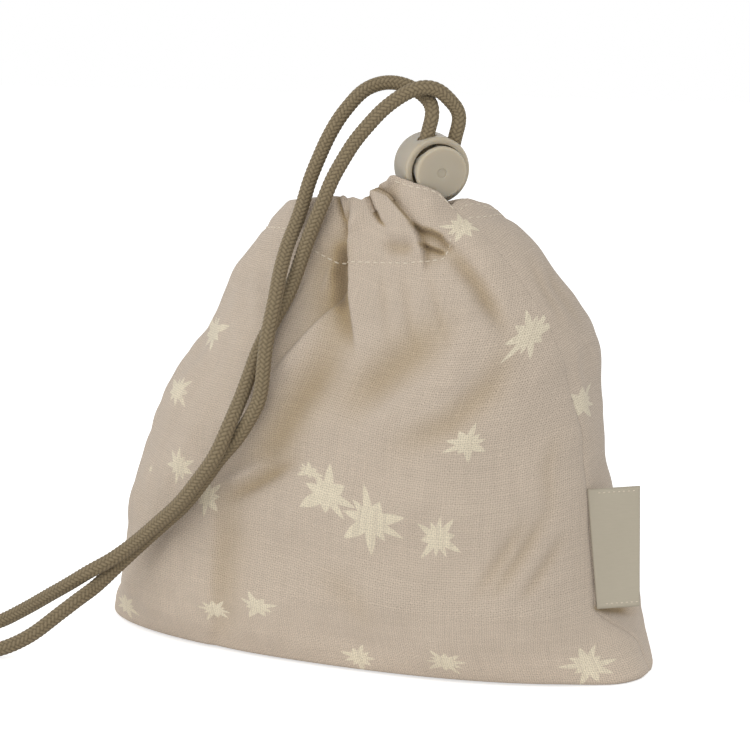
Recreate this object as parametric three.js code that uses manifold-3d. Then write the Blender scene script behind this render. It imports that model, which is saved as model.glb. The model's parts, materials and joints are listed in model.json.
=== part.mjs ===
// Drawstring pouch of thin printed cotton, drawn shut by a braided cord with a spring cord lock.
// Millimetres, +Z up. The pouch stands on z = 0 with the middle of its base at the origin.
// The front faces -Y and the side seam with the label is at +X.

import * as THREE from "three";
import { mergeVertices } from "three/addons/utils/BufferGeometryUtils.js";
import Module from "manifold-3d";

const wasm = await Module();
wasm.setup();

// Clearances
const TOUCH_GAP = 0.3; // between pieces that touch
const SEAM_GAP = 0.5; // between the two panels along their seams
const SLIDING_GAP = 0.4; // round the cord, and round the plunger in its bore

// Cloth and sewing
const CLOTH = 0.8; // thickness of one layer
const MOUTH_HEIGHT = 126; // top fold of the casing
const CASING_HEIGHT = 17; // from the top fold down to the casing's stitching
const HEM_ALLOWANCE = 4; // turned cloth below that stitching
const TOP_FOLD = 2.6; // height of the rounded fold at the top
const TUNNEL_RISE = 6; // the tunnel widens to its full width over this height above the stitching
const VENT_ANGLE = 83; // where the casing stops short of that seam, front and back, in degrees
const VENT_STOP = 0.5; // the seam is left open down to this far above the casing's stitching
const VENT_SILL = 6; // height of the sloping edge at the bottom of that opening
const SHOULDER_RISE = 12; // the cloth below that opening is pushed up this far by the gathers
const SHOULDER_POWER = 9; // how fast that rise fades on both sides of the seam
const BASE_SEAM_Y = 8; // the bottom seam lies a little behind the middle
const BASE_SEAM_HALF = 53; // half the length of the bottom seam

// The filled pouch's main sizes, and the heights of its sections
const BASE_LEFT = -83;
const BASE_RIGHT = 81;
const FULL_DEPTH = 80;
const FULLEST_HEIGHT = 10;
const LABEL_HEIGHT = 34.8; // middle of the label
const WAIST_BELOW_MOUTH = 64;
const SHOULDER_BELOW_MOUTH = 40;
const NECK_BELOW_MOUTH = 22;
const COLLAR_BELOW_MOUTH = 10;

// The filled pouch: height, left reach, right reach, half depth, fullness of the rounded section,
// and where the label's side seam runs, in degrees from +X
const POUCH_SHAPE = [
  [0, BASE_LEFT, BASE_RIGHT, 32, 2.4, -22],
  [FULLEST_HEIGHT, -78.5, 76.5, FULL_DEPTH / 2, 2.6, -21],
  [LABEL_HEIGHT, -74.5, 70.5, 38, 2.4, -16],
  [MOUTH_HEIGHT - WAIST_BELOW_MOUTH, -65.5, 64.5, 35, 2.3, -10],
  [MOUTH_HEIGHT - SHOULDER_BELOW_MOUTH, -50, 63, 29, 2.5, -21],
  [MOUTH_HEIGHT - NECK_BELOW_MOUTH, -40, 54, 20, 2.1, -30],
  [MOUTH_HEIGHT - COLLAR_BELOW_MOUTH, -31, 42, 17.5, 2.1, -34],
  [MOUTH_HEIGHT, -21, 29, 15, 2.0, -34],
];

// Drawstring
const CORD_DIAMETER = 4;
const CORD_SPACING = 7.8; // between the two runs in the cord lock
const CORD_STRAIGHT = 3.5; // straight run above the cord lock
const CORD_PROUD = 0.6; // the casing loop's ends stand this far above the cord lock
const TUNNEL_CORD_DROP = 7.5; // the cord runs this far below the top fold

// Cord lock: a drum lying on its side, with the plunger at its front end
const LOCK_PLACE = [19.1, -3.05, 5.7]; // from the middle of the mouth's top fold
const LOCK_TURN = 46; // the plunger's direction, from -Y towards +X, in degrees
const LOCK_LEAN = 12; // lean of the cord holes towards the right, in degrees
const LOCK_TILT = 6.8; // the plunger's head looks this far down, in degrees
const DRUM_RADIUS = 9;
const DRUM_FRONT = 3.8; // rim, from the plane of the cord holes
const DRUM_BACK = 10.7; // rounded end, from the plane of the cord holes
const DRUM_WALL = 1.6;
const BACK_ROUND = 5;
const RIM_ROUND = 1;
const PLUNGER_PROUD = 3.4; // how far the head stands out of the rim
const PLUNGER_TRAVEL = 2.5;
const PLUNGER_TAIL = 3.9; // back end, from the plane of the cord holes
const HEAD_THICKNESS = 1.4;
const HEAD_ROUND = 0.8;
const NECK_RADIUS = 6.3; // the plunger is drawn in behind its head
const GATE_RADIUS = 1.2; // moulding mark in the middle of the head
const GATE_DEPTH = 0.3;
const SPRING_RADIUS = 2.4;
const SPRING_WIRE = 0.5;
const SPRING_TURNS = 4;
const POCKET_DEPTH = 2.5; // spring pocket behind the plunger's bore

// Side label: a folded satin ribbon caught in the side seam
const LABEL_WIDTH = 13;
const LABEL_THICKNESS = 0.8; // both layers of the ribbon
const LABEL_LENGTH = 30;
const LABEL_GAP = 0.9; // from the seam to the ribbon, room for it to turn
const LABEL_TURN = 27; // the way that it stands out, from +X towards the back, in degrees

// Knot that ties the two cord ends together
const KNOT_LENGTH = 12;
const KNOT_RADIUS = 5;
const KNOT_FULLNESS = 0.35; // 1 is a spindle, 0 a barrel
const KNOT_WRAPS = 3;
const WRAP_RELIEF = 0.7;
const CORD_END = 11; // free cord past the knot
const CORD_END_APART = 4.8; // between the middles of the two ends, where they leave the knot
const CORD_END_SPREAD = 14; // each end's angle away from the other, in degrees

// The cord's bends between the lock and the casing, from the lower end of each cord hole
const FRONT_TURN = [[0, -0.8, -2.5], [-0.4, -3, -4], [-2.8, -5.6, -3.8]];
const BACK_TURN = [[-7.5, 12.5, -1.2], [-3, 9.7, -2], [-0.5, 5.2, -3.8], [0, 1.5, -3.2]];

// Routes of the two cord tails, after the straight run above the cord lock
const TAIL_LEFT_ROUTE = [
  [18.8, -3.4, 148.1], [16, -1.6, 150.4], [12.3, -1, 152.5], [8.5, -1.7, 153.9], [5.1, -2.9, 154.2],
  [2, -4.8, 153.4], [-0.4, -6.9, 151.7], [-2.3, -8.7, 149.1], [-5, -11.5, 144.5], [-7.5, -13.5, 139],
  [-9.5, -15, 133.5], [-11.5, -16, 128], [-12.8, -17, 122.5], [-13.6, -18.7, 118], [-14.8, -22.5, 111],
  [-14.6, -27, 104], [-13.9, -31, 97.2], [-14, -33.5, 91.5], [-14.5, -35.2, 84.5], [-15, -35.7, 77.5],
  [-16, -36.2, 71], [-18.5, -37, 66], [-22, -37.7, 60.5], [-27, -38, 55], [-32, -38.2, 48.5],
  [-38, -38, 41.5], [-46, -37.1, 34.6], [-54.5, -36.7, 27.3], [-59.6, -39.6, 21.8], [-63.4, -44.6, 16.8],
  [-65, -49.5, 14.7], [-69, -55, 10.5], [-74, -61.5, 5.5], [-80, -67.5, 2.6], [-87, -71, 2.2],
  [-95, -71, 2.2], [-103, -68, 2.2], [-111, -65, 2.6], [-119, -64.2, 4.5],
];
const TAIL_RIGHT_ROUTE = [
  [24.7, 1.1, 146.6], [22.9, -0.7, 149.4], [20.9, -2.8, 152.2], [17.9, -5.3, 153.3], [14.6, -7, 152.4],
  [10.8, -9.1, 149.9], [7.6, -10.9, 147], [5.2, -12.4, 144], [1.5, -14.5, 139], [-1.5, -16, 133.7],
  [-4, -17.5, 128.5], [-5.5, -18.5, 124], [-7, -19.2, 120], [-9, -19.8, 115], [-11, -20.7, 109],
  [-12.5, -22.2, 103], [-13.7, -24.4, 98], [-15.7, -28, 92], [-18.5, -31.3, 84.5], [-20.2, -33.9, 77.2],
  [-21.6, -36.5, 70.8], [-22.8, -40.7, 64.1], [-25.4, -43.1, 56.7], [-30.9, -42.8, 49.7], [-37, -42.4, 42.7],
  [-45, -41.6, 35.9], [-53.4, -41.3, 29], [-59, -43.6, 24.6], [-64, -45.6, 21.6], [-70.2, -46.4, 17.6],
  [-77.6, -46.4, 13.2], [-86.4, -46, 8], [-95.4, -47.4, 3.3], [-102.4, -50.9, 2.2], [-107.5, -55, 2.2],
  [-113, -58, 2.6], [-119, -58.8, 4.5],
];

// Fineness of the meshes
const PANEL_COLUMNS = 24;
const BAND_ROWS = 2; // rows of the wall from one section to the next
const VENT_ROWS = 4; // rows along the vent's sloping edge
const FOLD_STEPS = 4;
const DRUM_SEGMENTS = 32;
const ROUND_STEPS = 3; // steps of a small rounded edge
const BACK_STEPS = 5;
const CORD_SIDES = 8;
const CORD_STEP = 7; // length of one step along a tail
const CASING_POINTS = 16; // route points of the cord inside the casing
const LOOP_STEPS = 56;
const SPRING_SIDES = 6;
const SPRING_TURN_STEPS = 10;
const KNOT_RINGS = 16;
const KNOT_SEGMENTS = 16;
const FOLD_SEGMENTS = 6; // round the label's folded edge

// Values worked out from the sizes above
const CORD_RADIUS = CORD_DIAMETER / 2;
const TUNNEL_WIDTH = CORD_DIAMETER + 2 * SLIDING_GAP;
const CASING_THICKNESS = TUNNEL_WIDTH + 2 * CLOTH;
const STITCH_HEIGHT = MOUTH_HEIGHT - CASING_HEIGHT;
const VENT_FLOOR = STITCH_HEIGHT + VENT_STOP;
const NECK_HEIGHT = MOUTH_HEIGHT - NECK_BELOW_MOUTH;
const SHOULDER_HEIGHT = MOUTH_HEIGHT - SHOULDER_BELOW_MOUTH;
const BORE_RADIUS = DRUM_RADIUS - DRUM_WALL;
const PLUNGER_RADIUS = BORE_RADIUS - SLIDING_GAP;
const PLUNGER_HEAD = DRUM_FRONT + PLUNGER_PROUD;
const NECK_START = DRUM_FRONT - PLUNGER_TRAVEL;
const BORE_END = PLUNGER_TAIL + PLUNGER_TRAVEL + TOUCH_GAP;
const HOLE_RADIUS = CORD_RADIUS + SLIDING_GAP;
const SPRING_REACH = SPRING_RADIUS + SPRING_WIRE / 2;
const POCKET_RADIUS = SPRING_REACH + SLIDING_GAP;
const POCKET_END = BORE_END + POCKET_DEPTH;

const radians = THREE.MathUtils.degToRad;
const vector = (x, y, z) => new THREE.Vector3(x, y, z);

function finish(color, roughness) {
  return new THREE.MeshStandardMaterial({ color, roughness, metalness: 0 });
}

const clothFinish = finish("#c2b5a3", 0.95);
const cordFinish = finish("#8c7e68", 0.9);
const plasticFinish = finish("#aaa08b", 0.45);
const steelFinish = new THREE.MeshStandardMaterial({ color: "#b9bcc0", roughness: 0.3, metalness: 1 });
const labelFinish = finish("#b6ad9c", 0.6);

function part(name, geometry, material) {
  const mesh = new THREE.Mesh(geometry, material);
  mesh.name = name;
  return mesh;
}

// A closed mesh as a solid that can be joined and cut
function solid(geometry) {
  const bare = geometry.clone();
  bare.deleteAttribute("normal");
  bare.deleteAttribute("uv");
  const merged = mergeVertices(bare);
  const corners = merged.index.array;
  const kept = [];
  for (let i = 0; i < corners.length; i += 3) {
    const [a, b, c] = corners.slice(i, i + 3);
    if (a !== b && b !== c && c !== a) kept.push(a, b, c);
  }
  return new wasm.Manifold(new wasm.Mesh({
    numProp: 3,
    vertProperties: new Float32Array(merged.attributes.position.array),
    triVerts: new Uint32Array(kept),
  }));
}

function meshOf(shape) {
  const { vertProperties, triVerts } = shape.getMesh();
  const geometry = new THREE.BufferGeometry();
  geometry.setAttribute("position", new THREE.BufferAttribute(vertProperties, 3));
  geometry.setIndex(new THREE.BufferAttribute(triVerts, 1));
  geometry.computeVertexNormals();
  return geometry;
}

// The pouch's rounded form, one section for each height
const shapeCurve = new THREE.CubicInterpolant(
  new Float64Array(POUCH_SHAPE.map((row) => row[0])),
  new Float64Array(POUCH_SHAPE.flatMap((row) => row.slice(1))),
  POUCH_SHAPE[0].length - 1,
);

function sectionAt(height) {
  const [left, right, depth, fullness, seam] = shapeCurve.evaluate(height);
  return { left, right, depth, fullness, seam: radians(seam) };
}

// How much an inset grows on a sloping wall, so that cloth keeps its thickness
function insetScale(height) {
  const step = 1;
  const low = sectionAt(Math.max(height - step, 0));
  const high = sectionAt(Math.min(height + step, MOUTH_HEIGHT));
  const run = Math.min(height + step, MOUTH_HEIGHT) - Math.max(height - step, 0);
  const scale = (side) => Math.hypot(1, (high[side] - low[side]) / run);
  return { left: scale("left"), right: scale("right"), depth: scale("depth") };
}

// The section at one height, moved in from the outer face of the cloth
function insetSection(height, inset) {
  const section = sectionAt(height);
  const scale = insetScale(height);
  return {
    left: section.left + inset * scale.left,
    right: section.right - inset * scale.right,
    depth: section.depth - inset * scale.depth,
    fullness: section.fullness,
  };
}

// How far the gathers push the cloth up at one place, most of all on the label's seam
function shoulderLift(angle, height) {
  const near = Math.max(Math.cos(angle - sectionAt(height).seam), 0) ** SHOULDER_POWER;
  return SHOULDER_RISE * near * THREE.MathUtils.smoothstep(height, SHOULDER_HEIGHT, VENT_FLOOR);
}

function wallPoint(angle, height, inset) {
  const lifted = height + shoulderLift(angle, height);
  const { left, right, depth, fullness } = insetSection(lifted, inset);
  const [across, along] = [Math.cos(angle), Math.sin(angle)];
  const round = (Math.abs(across) ** fullness + Math.abs(along) ** fullness) ** (1 / fullness);
  const x = (left + right) / 2 + ((right - left) / 2) * (across / round);
  return vector(x, depth * (along / round), lifted);
}

// Angle of a panel's edge at the label's seam, which opens into a vent under the mouth
function ventEdge(side, height) {
  const open = THREE.MathUtils.smoothstep(height, VENT_FLOOR, VENT_FLOOR + VENT_SILL);
  return THREE.MathUtils.lerp(sectionAt(height).seam, side * radians(VENT_ANGLE), open);
}

// A point of one panel: side is -1 at the front and 1 at the back, u runs from the label's seam
function panelPoint(side, u, { height, inset, base }) {
  const gap = SEAM_GAP / 2 / insetSection(height, inset).depth;
  const start = ventEdge(side, height) + side * gap;
  const end = side * (Math.PI - gap);
  if (!base) return wallPoint(THREE.MathUtils.lerp(start, end, u), height, inset);
  const x = THREE.MathUtils.lerp(BASE_SEAM_HALF, -BASE_SEAM_HALF, u);
  return vector(x, BASE_SEAM_Y + (side * SEAM_GAP) / 2, height);
}

// Free width of the cord's tunnel, which closes down to the casing's stitching
function tunnelWidth(height) {
  const open = THREE.MathUtils.smoothstep(height, STITCH_HEIGHT, STITCH_HEIGHT + TUNNEL_RISE);
  return THREE.MathUtils.lerp(TOUCH_GAP, TUNNEL_WIDTH, open);
}

// A pair of points through the cloth, given the inset of each of its faces
function layer(outer, inner, height) {
  return { outer: { inset: outer, height }, inner: { inset: inner, height } };
}

// The rounded top fold, from the wall over to the casing's inner layer
function topFold() {
  const middle = CASING_THICKNESS / 2;
  return Array.from({ length: FOLD_STEPS + 1 }, (_, i) => {
    const turn = Math.PI * (1 - i / FOLD_STEPS);
    const face = (width, rise) => ({
      inset: middle + (width / 2) * Math.cos(turn),
      height: MOUTH_HEIGHT - TOP_FOLD + rise * Math.sin(turn),
    });
    return { outer: face(CASING_THICKNESS, TOP_FOLD), inner: face(TUNNEL_WIDTH, TOP_FOLD - CLOTH) };
  });
}

// Heights of the wall's rows, from the base up to the neck
function wallRows() {
  const heights = POUCH_SHAPE.map((row) => row[0]).filter((height) => height <= NECK_HEIGHT);
  const bands = heights.slice(1).map((high, i) => [heights[i], high]);
  const steps = Array.from({ length: BAND_ROWS }, (_, i) => (i + 1) / BAND_ROWS);
  return bands.flatMap(([low, high]) => steps.map((step) => THREE.MathUtils.lerp(low, high, step)));
}

// Cloth section of a panel: along the base, up the wall, over the fold and down to the casing's hem
function panelSection() {
  const vent = Array.from({ length: VENT_ROWS + 1 }, (_, i) => VENT_FLOOR + (i / VENT_ROWS) * VENT_SILL);
  const casing = [...vent.toReversed(), STITCH_HEIGHT, STITCH_HEIGHT - HEM_ALLOWANCE];
  const turnedLayer = (height) => {
    const inner = CLOTH + tunnelWidth(height);
    return layer(inner + CLOTH, inner, height);
  };
  return [
    { outer: { inset: 0, height: 0, base: true }, inner: { inset: CLOTH, height: CLOTH, base: true } },
    { outer: { inset: 0, height: 0 }, inner: { inset: CLOTH, height: CLOTH } },
    ...[...wallRows(), ...vent].map((height) => layer(0, CLOTH, height)),
    ...topFold(),
    ...casing.map(turnedLayer),
  ];
}

// One cloth panel with its half of the base and its casing, swept from seam to seam
function panelGeometry(side) {
  const section = panelSection();
  const ring = [...section.map((pair) => pair.outer), ...section.toReversed().map((pair) => pair.inner)];
  const positions = [];
  const triangles = [];
  const addQuad = (a, b, c, d) => {
    triangles.push(...(side < 0 ? [a, b, c, a, c, d] : [a, c, b, a, d, c]));
  };
  for (let column = 0; column <= PANEL_COLUMNS; column++) {
    for (const point of ring) positions.push(...panelPoint(side, column / PANEL_COLUMNS, point).toArray());
  }
  for (let column = 0; column < PANEL_COLUMNS; column++) {
    const near = column * ring.length;
    const far = near + ring.length;
    for (let i = 0; i < ring.length; i++) {
      const next = (i + 1) % ring.length;
      addQuad(near + i, near + next, far + next, far + i);
    }
  }
  const last = PANEL_COLUMNS * ring.length;
  for (let i = 0; i + 1 < section.length; i++) {
    const [outer, nextOuter] = [i, i + 1];
    const [inner, nextInner] = [ring.length - 1 - i, ring.length - 2 - i];
    addQuad(outer, inner, nextInner, nextOuter);
    addQuad(last + outer, last + nextOuter, last + nextInner, last + inner);
  }
  const geometry = new THREE.BufferGeometry();
  geometry.setAttribute("position", new THREE.Float32BufferAttribute(positions, 3));
  geometry.setIndex(triangles);
  geometry.computeVertexNormals();
  return geometry;
}

// A round tube along a curve
function tube(curve, radius, sides, steps) {
  const circle = new THREE.Shape().absarc(0, 0, radius, 0, 2 * Math.PI);
  return new THREE.ExtrudeGeometry(circle, {
    steps,
    curveSegments: sides / 2,
    extrudePath: curve,
    bevelEnabled: false,
  });
}

function smoothCurve(points) {
  return new THREE.CatmullRomCurve3(points, false, "centripetal");
}

// The cord lock's frame: local -Y is the plunger's way out, Z is along the cord, X is across it
const lock = new THREE.Group();
lock.position.set(LOCK_PLACE[0], LOCK_PLACE[1], MOUTH_HEIGHT + LOCK_PLACE[2]);
lock.rotation.set(radians(LOCK_TILT), radians(LOCK_LEAN), radians(LOCK_TURN), "ZYX");
lock.updateMatrix();

// A point on one of the cord's two runs through the lock: side is -1 at the left and 1 at the right
function onCordRun(side, along) {
  return vector((side * CORD_SPACING) / 2, 0, along).applyMatrix4(lock.matrix);
}

// A revolved solid about the plunger's axis, from [radius, distance towards the front] pairs
function turned(profile) {
  const points = profile.map(([radius, front]) => new THREE.Vector2(radius, -front));
  return new THREE.LatheGeometry(points.reverse(), DRUM_SEGMENTS);
}

// Quarter of a circle in a turned profile, from one angle to another
function roundOff(radius, front, size, from, to, count) {
  return Array.from({ length: count + 1 }, (_, i) => {
    const turn = radians(THREE.MathUtils.lerp(from, to, i / count));
    return [radius + size * Math.cos(turn), front + size * Math.sin(turn)];
  });
}

// Slot with round ends, right through the lock along the cord, longer at the front by the travel
function cordSlot(side, travel) {
  const across = (side * CORD_SPACING) / 2;
  const outline = new THREE.Shape();
  outline.absarc(across, -travel, HOLE_RADIUS, Math.PI, 2 * Math.PI);
  outline.absarc(across, 0, HOLE_RADIUS, 0, Math.PI);
  const slot = new THREE.ExtrudeGeometry(outline, {
    depth: 4 * DRUM_RADIUS,
    curveSegments: CORD_SIDES,
    bevelEnabled: false,
  });
  return solid(slot.translate(0, 0, -2 * DRUM_RADIUS));
}

// Cuts both cord runs, lengthened by the plunger's travel where the piece moves past the cord
function cutCordRuns(body, travel) {
  return body.subtract(cordSlot(-1, travel)).subtract(cordSlot(1, travel));
}

// Drum with a rounded back, a bore for the plunger and a pocket for the spring
function lockBodyGeometry() {
  const drum = turned([
    [0, -DRUM_BACK],
    ...roundOff(DRUM_RADIUS - BACK_ROUND, BACK_ROUND - DRUM_BACK, BACK_ROUND, -90, 0, BACK_STEPS),
    ...roundOff(DRUM_RADIUS - RIM_ROUND, DRUM_FRONT - RIM_ROUND, RIM_ROUND, 0, 90, ROUND_STEPS),
    [BORE_RADIUS, DRUM_FRONT],
    [BORE_RADIUS, -BORE_END],
    [POCKET_RADIUS, -BORE_END],
    [POCKET_RADIUS, -POCKET_END],
    [0, -POCKET_END],
  ]);
  return meshOf(cutCordRuns(solid(drum), 0));
}

// Plunger with a flat head, two cord slots and a stub that centres the spring
function plungerGeometry() {
  const stub = SPRING_RADIUS - SPRING_WIRE / 2 - SLIDING_GAP;
  const plunger = turned([
    [0, -PLUNGER_TAIL - SPRING_WIRE],
    [stub, -PLUNGER_TAIL - SPRING_WIRE],
    [stub, -PLUNGER_TAIL],
    [PLUNGER_RADIUS, -PLUNGER_TAIL],
    [PLUNGER_RADIUS, NECK_START],
    [NECK_RADIUS, NECK_START],
    [NECK_RADIUS, PLUNGER_HEAD - HEAD_THICKNESS],
    [PLUNGER_RADIUS, PLUNGER_HEAD - HEAD_THICKNESS],
    ...roundOff(PLUNGER_RADIUS - HEAD_ROUND, PLUNGER_HEAD - HEAD_ROUND, HEAD_ROUND, 0, 90, ROUND_STEPS),
    [GATE_RADIUS, PLUNGER_HEAD],
    [GATE_RADIUS, PLUNGER_HEAD - GATE_DEPTH],
    [0, PLUNGER_HEAD - GATE_DEPTH],
  ]);
  return meshOf(cutCordRuns(solid(plunger), PLUNGER_TRAVEL));
}

// Compression spring between the pocket's end and the plunger's back
class SpringCurve extends THREE.Curve {
  getPoint(part, target = vector(0, 0, 0)) {
    const room = SPRING_WIRE / 2 + TOUCH_GAP / 2;
    const turn = 2 * Math.PI * SPRING_TURNS * part;
    const y = THREE.MathUtils.lerp(POCKET_END - room, PLUNGER_TAIL + room, part);
    return target.set(SPRING_RADIUS * Math.cos(turn), y, SPRING_RADIUS * Math.sin(turn));
  }
}

// The cord inside the casing, from the lock round the mouth and back to the lock
function loopGeometry() {
  const height = MOUTH_HEIGHT - TUNNEL_CORD_DROP;
  const inset = CLOTH + TUNNEL_WIDTH / 2;
  const runs = [DRUM_RADIUS + CORD_PROUD, DRUM_RADIUS / 2, -DRUM_RADIUS / 2, -DRUM_RADIUS];
  const inCasing = Array.from({ length: CASING_POINTS + 1 }, (_, i) => {
    const angle = THREE.MathUtils.lerp(-VENT_ANGLE, VENT_ANGLE - 360, i / CASING_POINTS);
    return wallPoint(radians(angle), height, inset);
  });
  const turn = (side, steps) => steps.map((step) => onCordRun(side, -DRUM_RADIUS).add(vector(...step)));
  return tube(smoothCurve([
    ...runs.map((along) => onCordRun(-1, along)),
    ...turn(-1, FRONT_TURN),
    ...inCasing,
    ...turn(1, BACK_TURN),
    ...runs.reverse().map((along) => onCordRun(1, along)),
  ]), CORD_RADIUS, CORD_SIDES, LOOP_STEPS);
}

// One free tail of the cord, from the lock to the knot
function tailGeometry(side, route) {
  const start = DRUM_RADIUS + CORD_PROUD + TOUCH_GAP;
  const curve = smoothCurve([
    onCordRun(side, start),
    onCordRun(side, start + CORD_STRAIGHT),
    ...route.map((point) => vector(...point)),
  ]);
  return tube(curve, CORD_RADIUS, CORD_SIDES, Math.round(curve.getLength() / CORD_STEP));
}

// Knot of both tails lying on the table, with the two cut ends past it
function knotGeometry() {
  const profile = Array.from({ length: KNOT_RINGS + 1 }, (_, i) => {
    const along = i / KNOT_RINGS;
    const swell = Math.sin(Math.PI * along) ** KNOT_FULLNESS;
    const groove = WRAP_RELIEF * (1 - Math.abs(Math.sin(Math.PI * KNOT_WRAPS * along)));
    const radius = i % KNOT_RINGS === 0 ? 0 : swell * (KNOT_RADIUS - groove);
    return new THREE.Vector2(radius, KNOT_LENGTH * along);
  });
  let knot = solid(new THREE.LatheGeometry(profile, KNOT_SEGMENTS).rotateZ(Math.PI / 2));
  const apart = CORD_END_APART / 2;
  const spread = (KNOT_LENGTH / 2 + CORD_END) * Math.tan(radians(CORD_END_SPREAD));
  for (const side of [-1, 1]) {
    const from = vector(-KNOT_LENGTH / 2, side * apart, -CORD_RADIUS);
    const to = vector(-KNOT_LENGTH - CORD_END, side * (apart + spread), CORD_RADIUS - KNOT_RADIUS);
    knot = knot.add(solid(tube(new THREE.LineCurve3(from, to), CORD_RADIUS, CORD_SIDES, 1)));
  }
  const place = vector(...TAIL_LEFT_ROUTE.at(-1)).lerp(vector(...TAIL_RIGHT_ROUTE.at(-1)), 0.5);
  return meshOf(knot).translate(place.x - TOUCH_GAP, place.y, KNOT_RADIUS + TOUCH_GAP);
}

// Flat ribbon folded in two, standing out of the side seam
function labelGeometry() {
  const seamPoint = (height) => wallPoint(sectionAt(height).seam, height, 0);
  const foot = seamPoint(LABEL_HEIGHT - LABEL_LENGTH / 2);
  const head = seamPoint(LABEL_HEIGHT + LABEL_LENGTH / 2);
  const half = LABEL_THICKNESS / 2;
  const outline = new THREE.Shape();
  outline.moveTo(0, -half);
  outline.lineTo(LABEL_WIDTH - half, -half);
  outline.absarc(LABEL_WIDTH - half, 0, half, -Math.PI / 2, Math.PI / 2);
  outline.lineTo(0, half);
  const ribbon = new THREE.ExtrudeGeometry(outline, {
    depth: foot.distanceTo(head),
    curveSegments: FOLD_SEGMENTS,
    bevelEnabled: false,
  });
  const up = head.clone().sub(foot).normalize();
  const across = up.clone().cross(vector(Math.cos(radians(LABEL_TURN)), Math.sin(radians(LABEL_TURN)), 0));
  const outward = across.normalize().clone().cross(up);
  const place = new THREE.Matrix4().makeBasis(outward, across, up);
  return ribbon.applyMatrix4(place.setPosition(foot.addScaledVector(outward, LABEL_GAP)));
}

// Spring coiled behind the plunger
function springGeometry() {
  return tube(new SpringCurve(), SPRING_WIRE / 2, SPRING_SIDES, SPRING_TURN_STEPS * SPRING_TURNS);
}

// Put together
lock.add(
  part("cord_lock_body", lockBodyGeometry(), plasticFinish),
  part("cord_lock_plunger", plungerGeometry(), plasticFinish),
  part("cord_lock_spring", springGeometry(), steelFinish),
);

const pouch = new THREE.Group();
pouch.add(
  part("front_panel", panelGeometry(-1), clothFinish),
  part("back_panel", panelGeometry(1), clothFinish),
  part("side_label", labelGeometry(), labelFinish),
  part("drawstring_loop", loopGeometry(), cordFinish),
  part("drawstring_tail_left", tailGeometry(-1, TAIL_LEFT_ROUTE), cordFinish),
  part("drawstring_tail_right", tailGeometry(1, TAIL_RIGHT_ROUTE), cordFinish),
  part("drawstring_knot", knotGeometry(), cordFinish),
  lock,
);

export default pouch;
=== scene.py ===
import json
import math

import bmesh
import bpy
import numpy as np
from mathutils import Matrix


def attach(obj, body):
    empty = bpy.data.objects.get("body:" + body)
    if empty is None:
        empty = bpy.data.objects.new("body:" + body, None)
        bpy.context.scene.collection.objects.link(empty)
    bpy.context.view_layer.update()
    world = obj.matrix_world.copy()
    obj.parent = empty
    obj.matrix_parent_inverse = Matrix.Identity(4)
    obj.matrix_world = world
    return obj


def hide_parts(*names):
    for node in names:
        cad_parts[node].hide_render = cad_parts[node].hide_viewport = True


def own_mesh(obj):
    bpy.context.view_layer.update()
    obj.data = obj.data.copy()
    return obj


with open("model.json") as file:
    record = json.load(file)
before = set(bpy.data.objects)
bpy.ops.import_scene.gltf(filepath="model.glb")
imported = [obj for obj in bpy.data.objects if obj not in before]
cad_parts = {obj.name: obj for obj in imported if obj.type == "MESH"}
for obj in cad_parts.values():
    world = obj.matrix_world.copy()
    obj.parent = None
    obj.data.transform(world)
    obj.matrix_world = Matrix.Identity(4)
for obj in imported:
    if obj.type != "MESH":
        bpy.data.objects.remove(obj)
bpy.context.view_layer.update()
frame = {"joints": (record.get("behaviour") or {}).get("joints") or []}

# All sizes are in millimetres, and a mesh is scaled to metres when it is made.
MM = 0.001

# Camera, as the photograph was taken, with the photo's pixels counted from its top left corner
PHOTO_SIZE = 750
FOCAL_PIXELS = 2363.6
SENSOR_WIDTH = 36.0
CAMERA_AZIMUTH = 27.28
CAMERA_ELEVATION = 9.32
CAMERA_DISTANCE = 650.0
CAMERA_TARGET = np.array([0.0, 0.0, 74.0])

# Pouch: height, left end, right end, half depth, fullness of the outline, angle of the side seam
POUCH_SHAPE = np.array([
    [0, -83, 81.5, 34, 2.2, 1],
    [10, -78.5, 76.5, 39.5, 2.6, -5],
    [19, -76.9, 74.1, 39.8, 2.55, -19.3],
    [25, -76.2, 72.7, 39.1, 2.49, -18.1],
    [34.8, -74.5, 70.5, 38, 2.4, -16],
    [62, -65.5, 64.2, 35, 2.3, -10],
    [71, -60.4, 62.9, 33, 2.35, -13],
    [86, -50, 63, 29, 2.5, -21],
    [104, -40, 54, 20, 2.1, -30],
    [116, -31, 42, 17.5, 2.1, -34],
    [121, -25.6, 34.5, 16.4, 2.0, -34.5],
    [126, -21, 27.5, 15, 2.0, -34.5],
    [132, -19, 24, 14.5, 2.0, -34.5],
])
MOUTH_HEIGHT = 126.0
CLOTH_THICKNESS = 0.5
BASE_ROUND = 1.8
BASE_SEAM_Y = 8.0
BASE_SEAM_HALF = 53.0
BASE_LIFT = 0.6
BASE_CURVE = 4
BASE_CLOTH = 40.0
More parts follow.
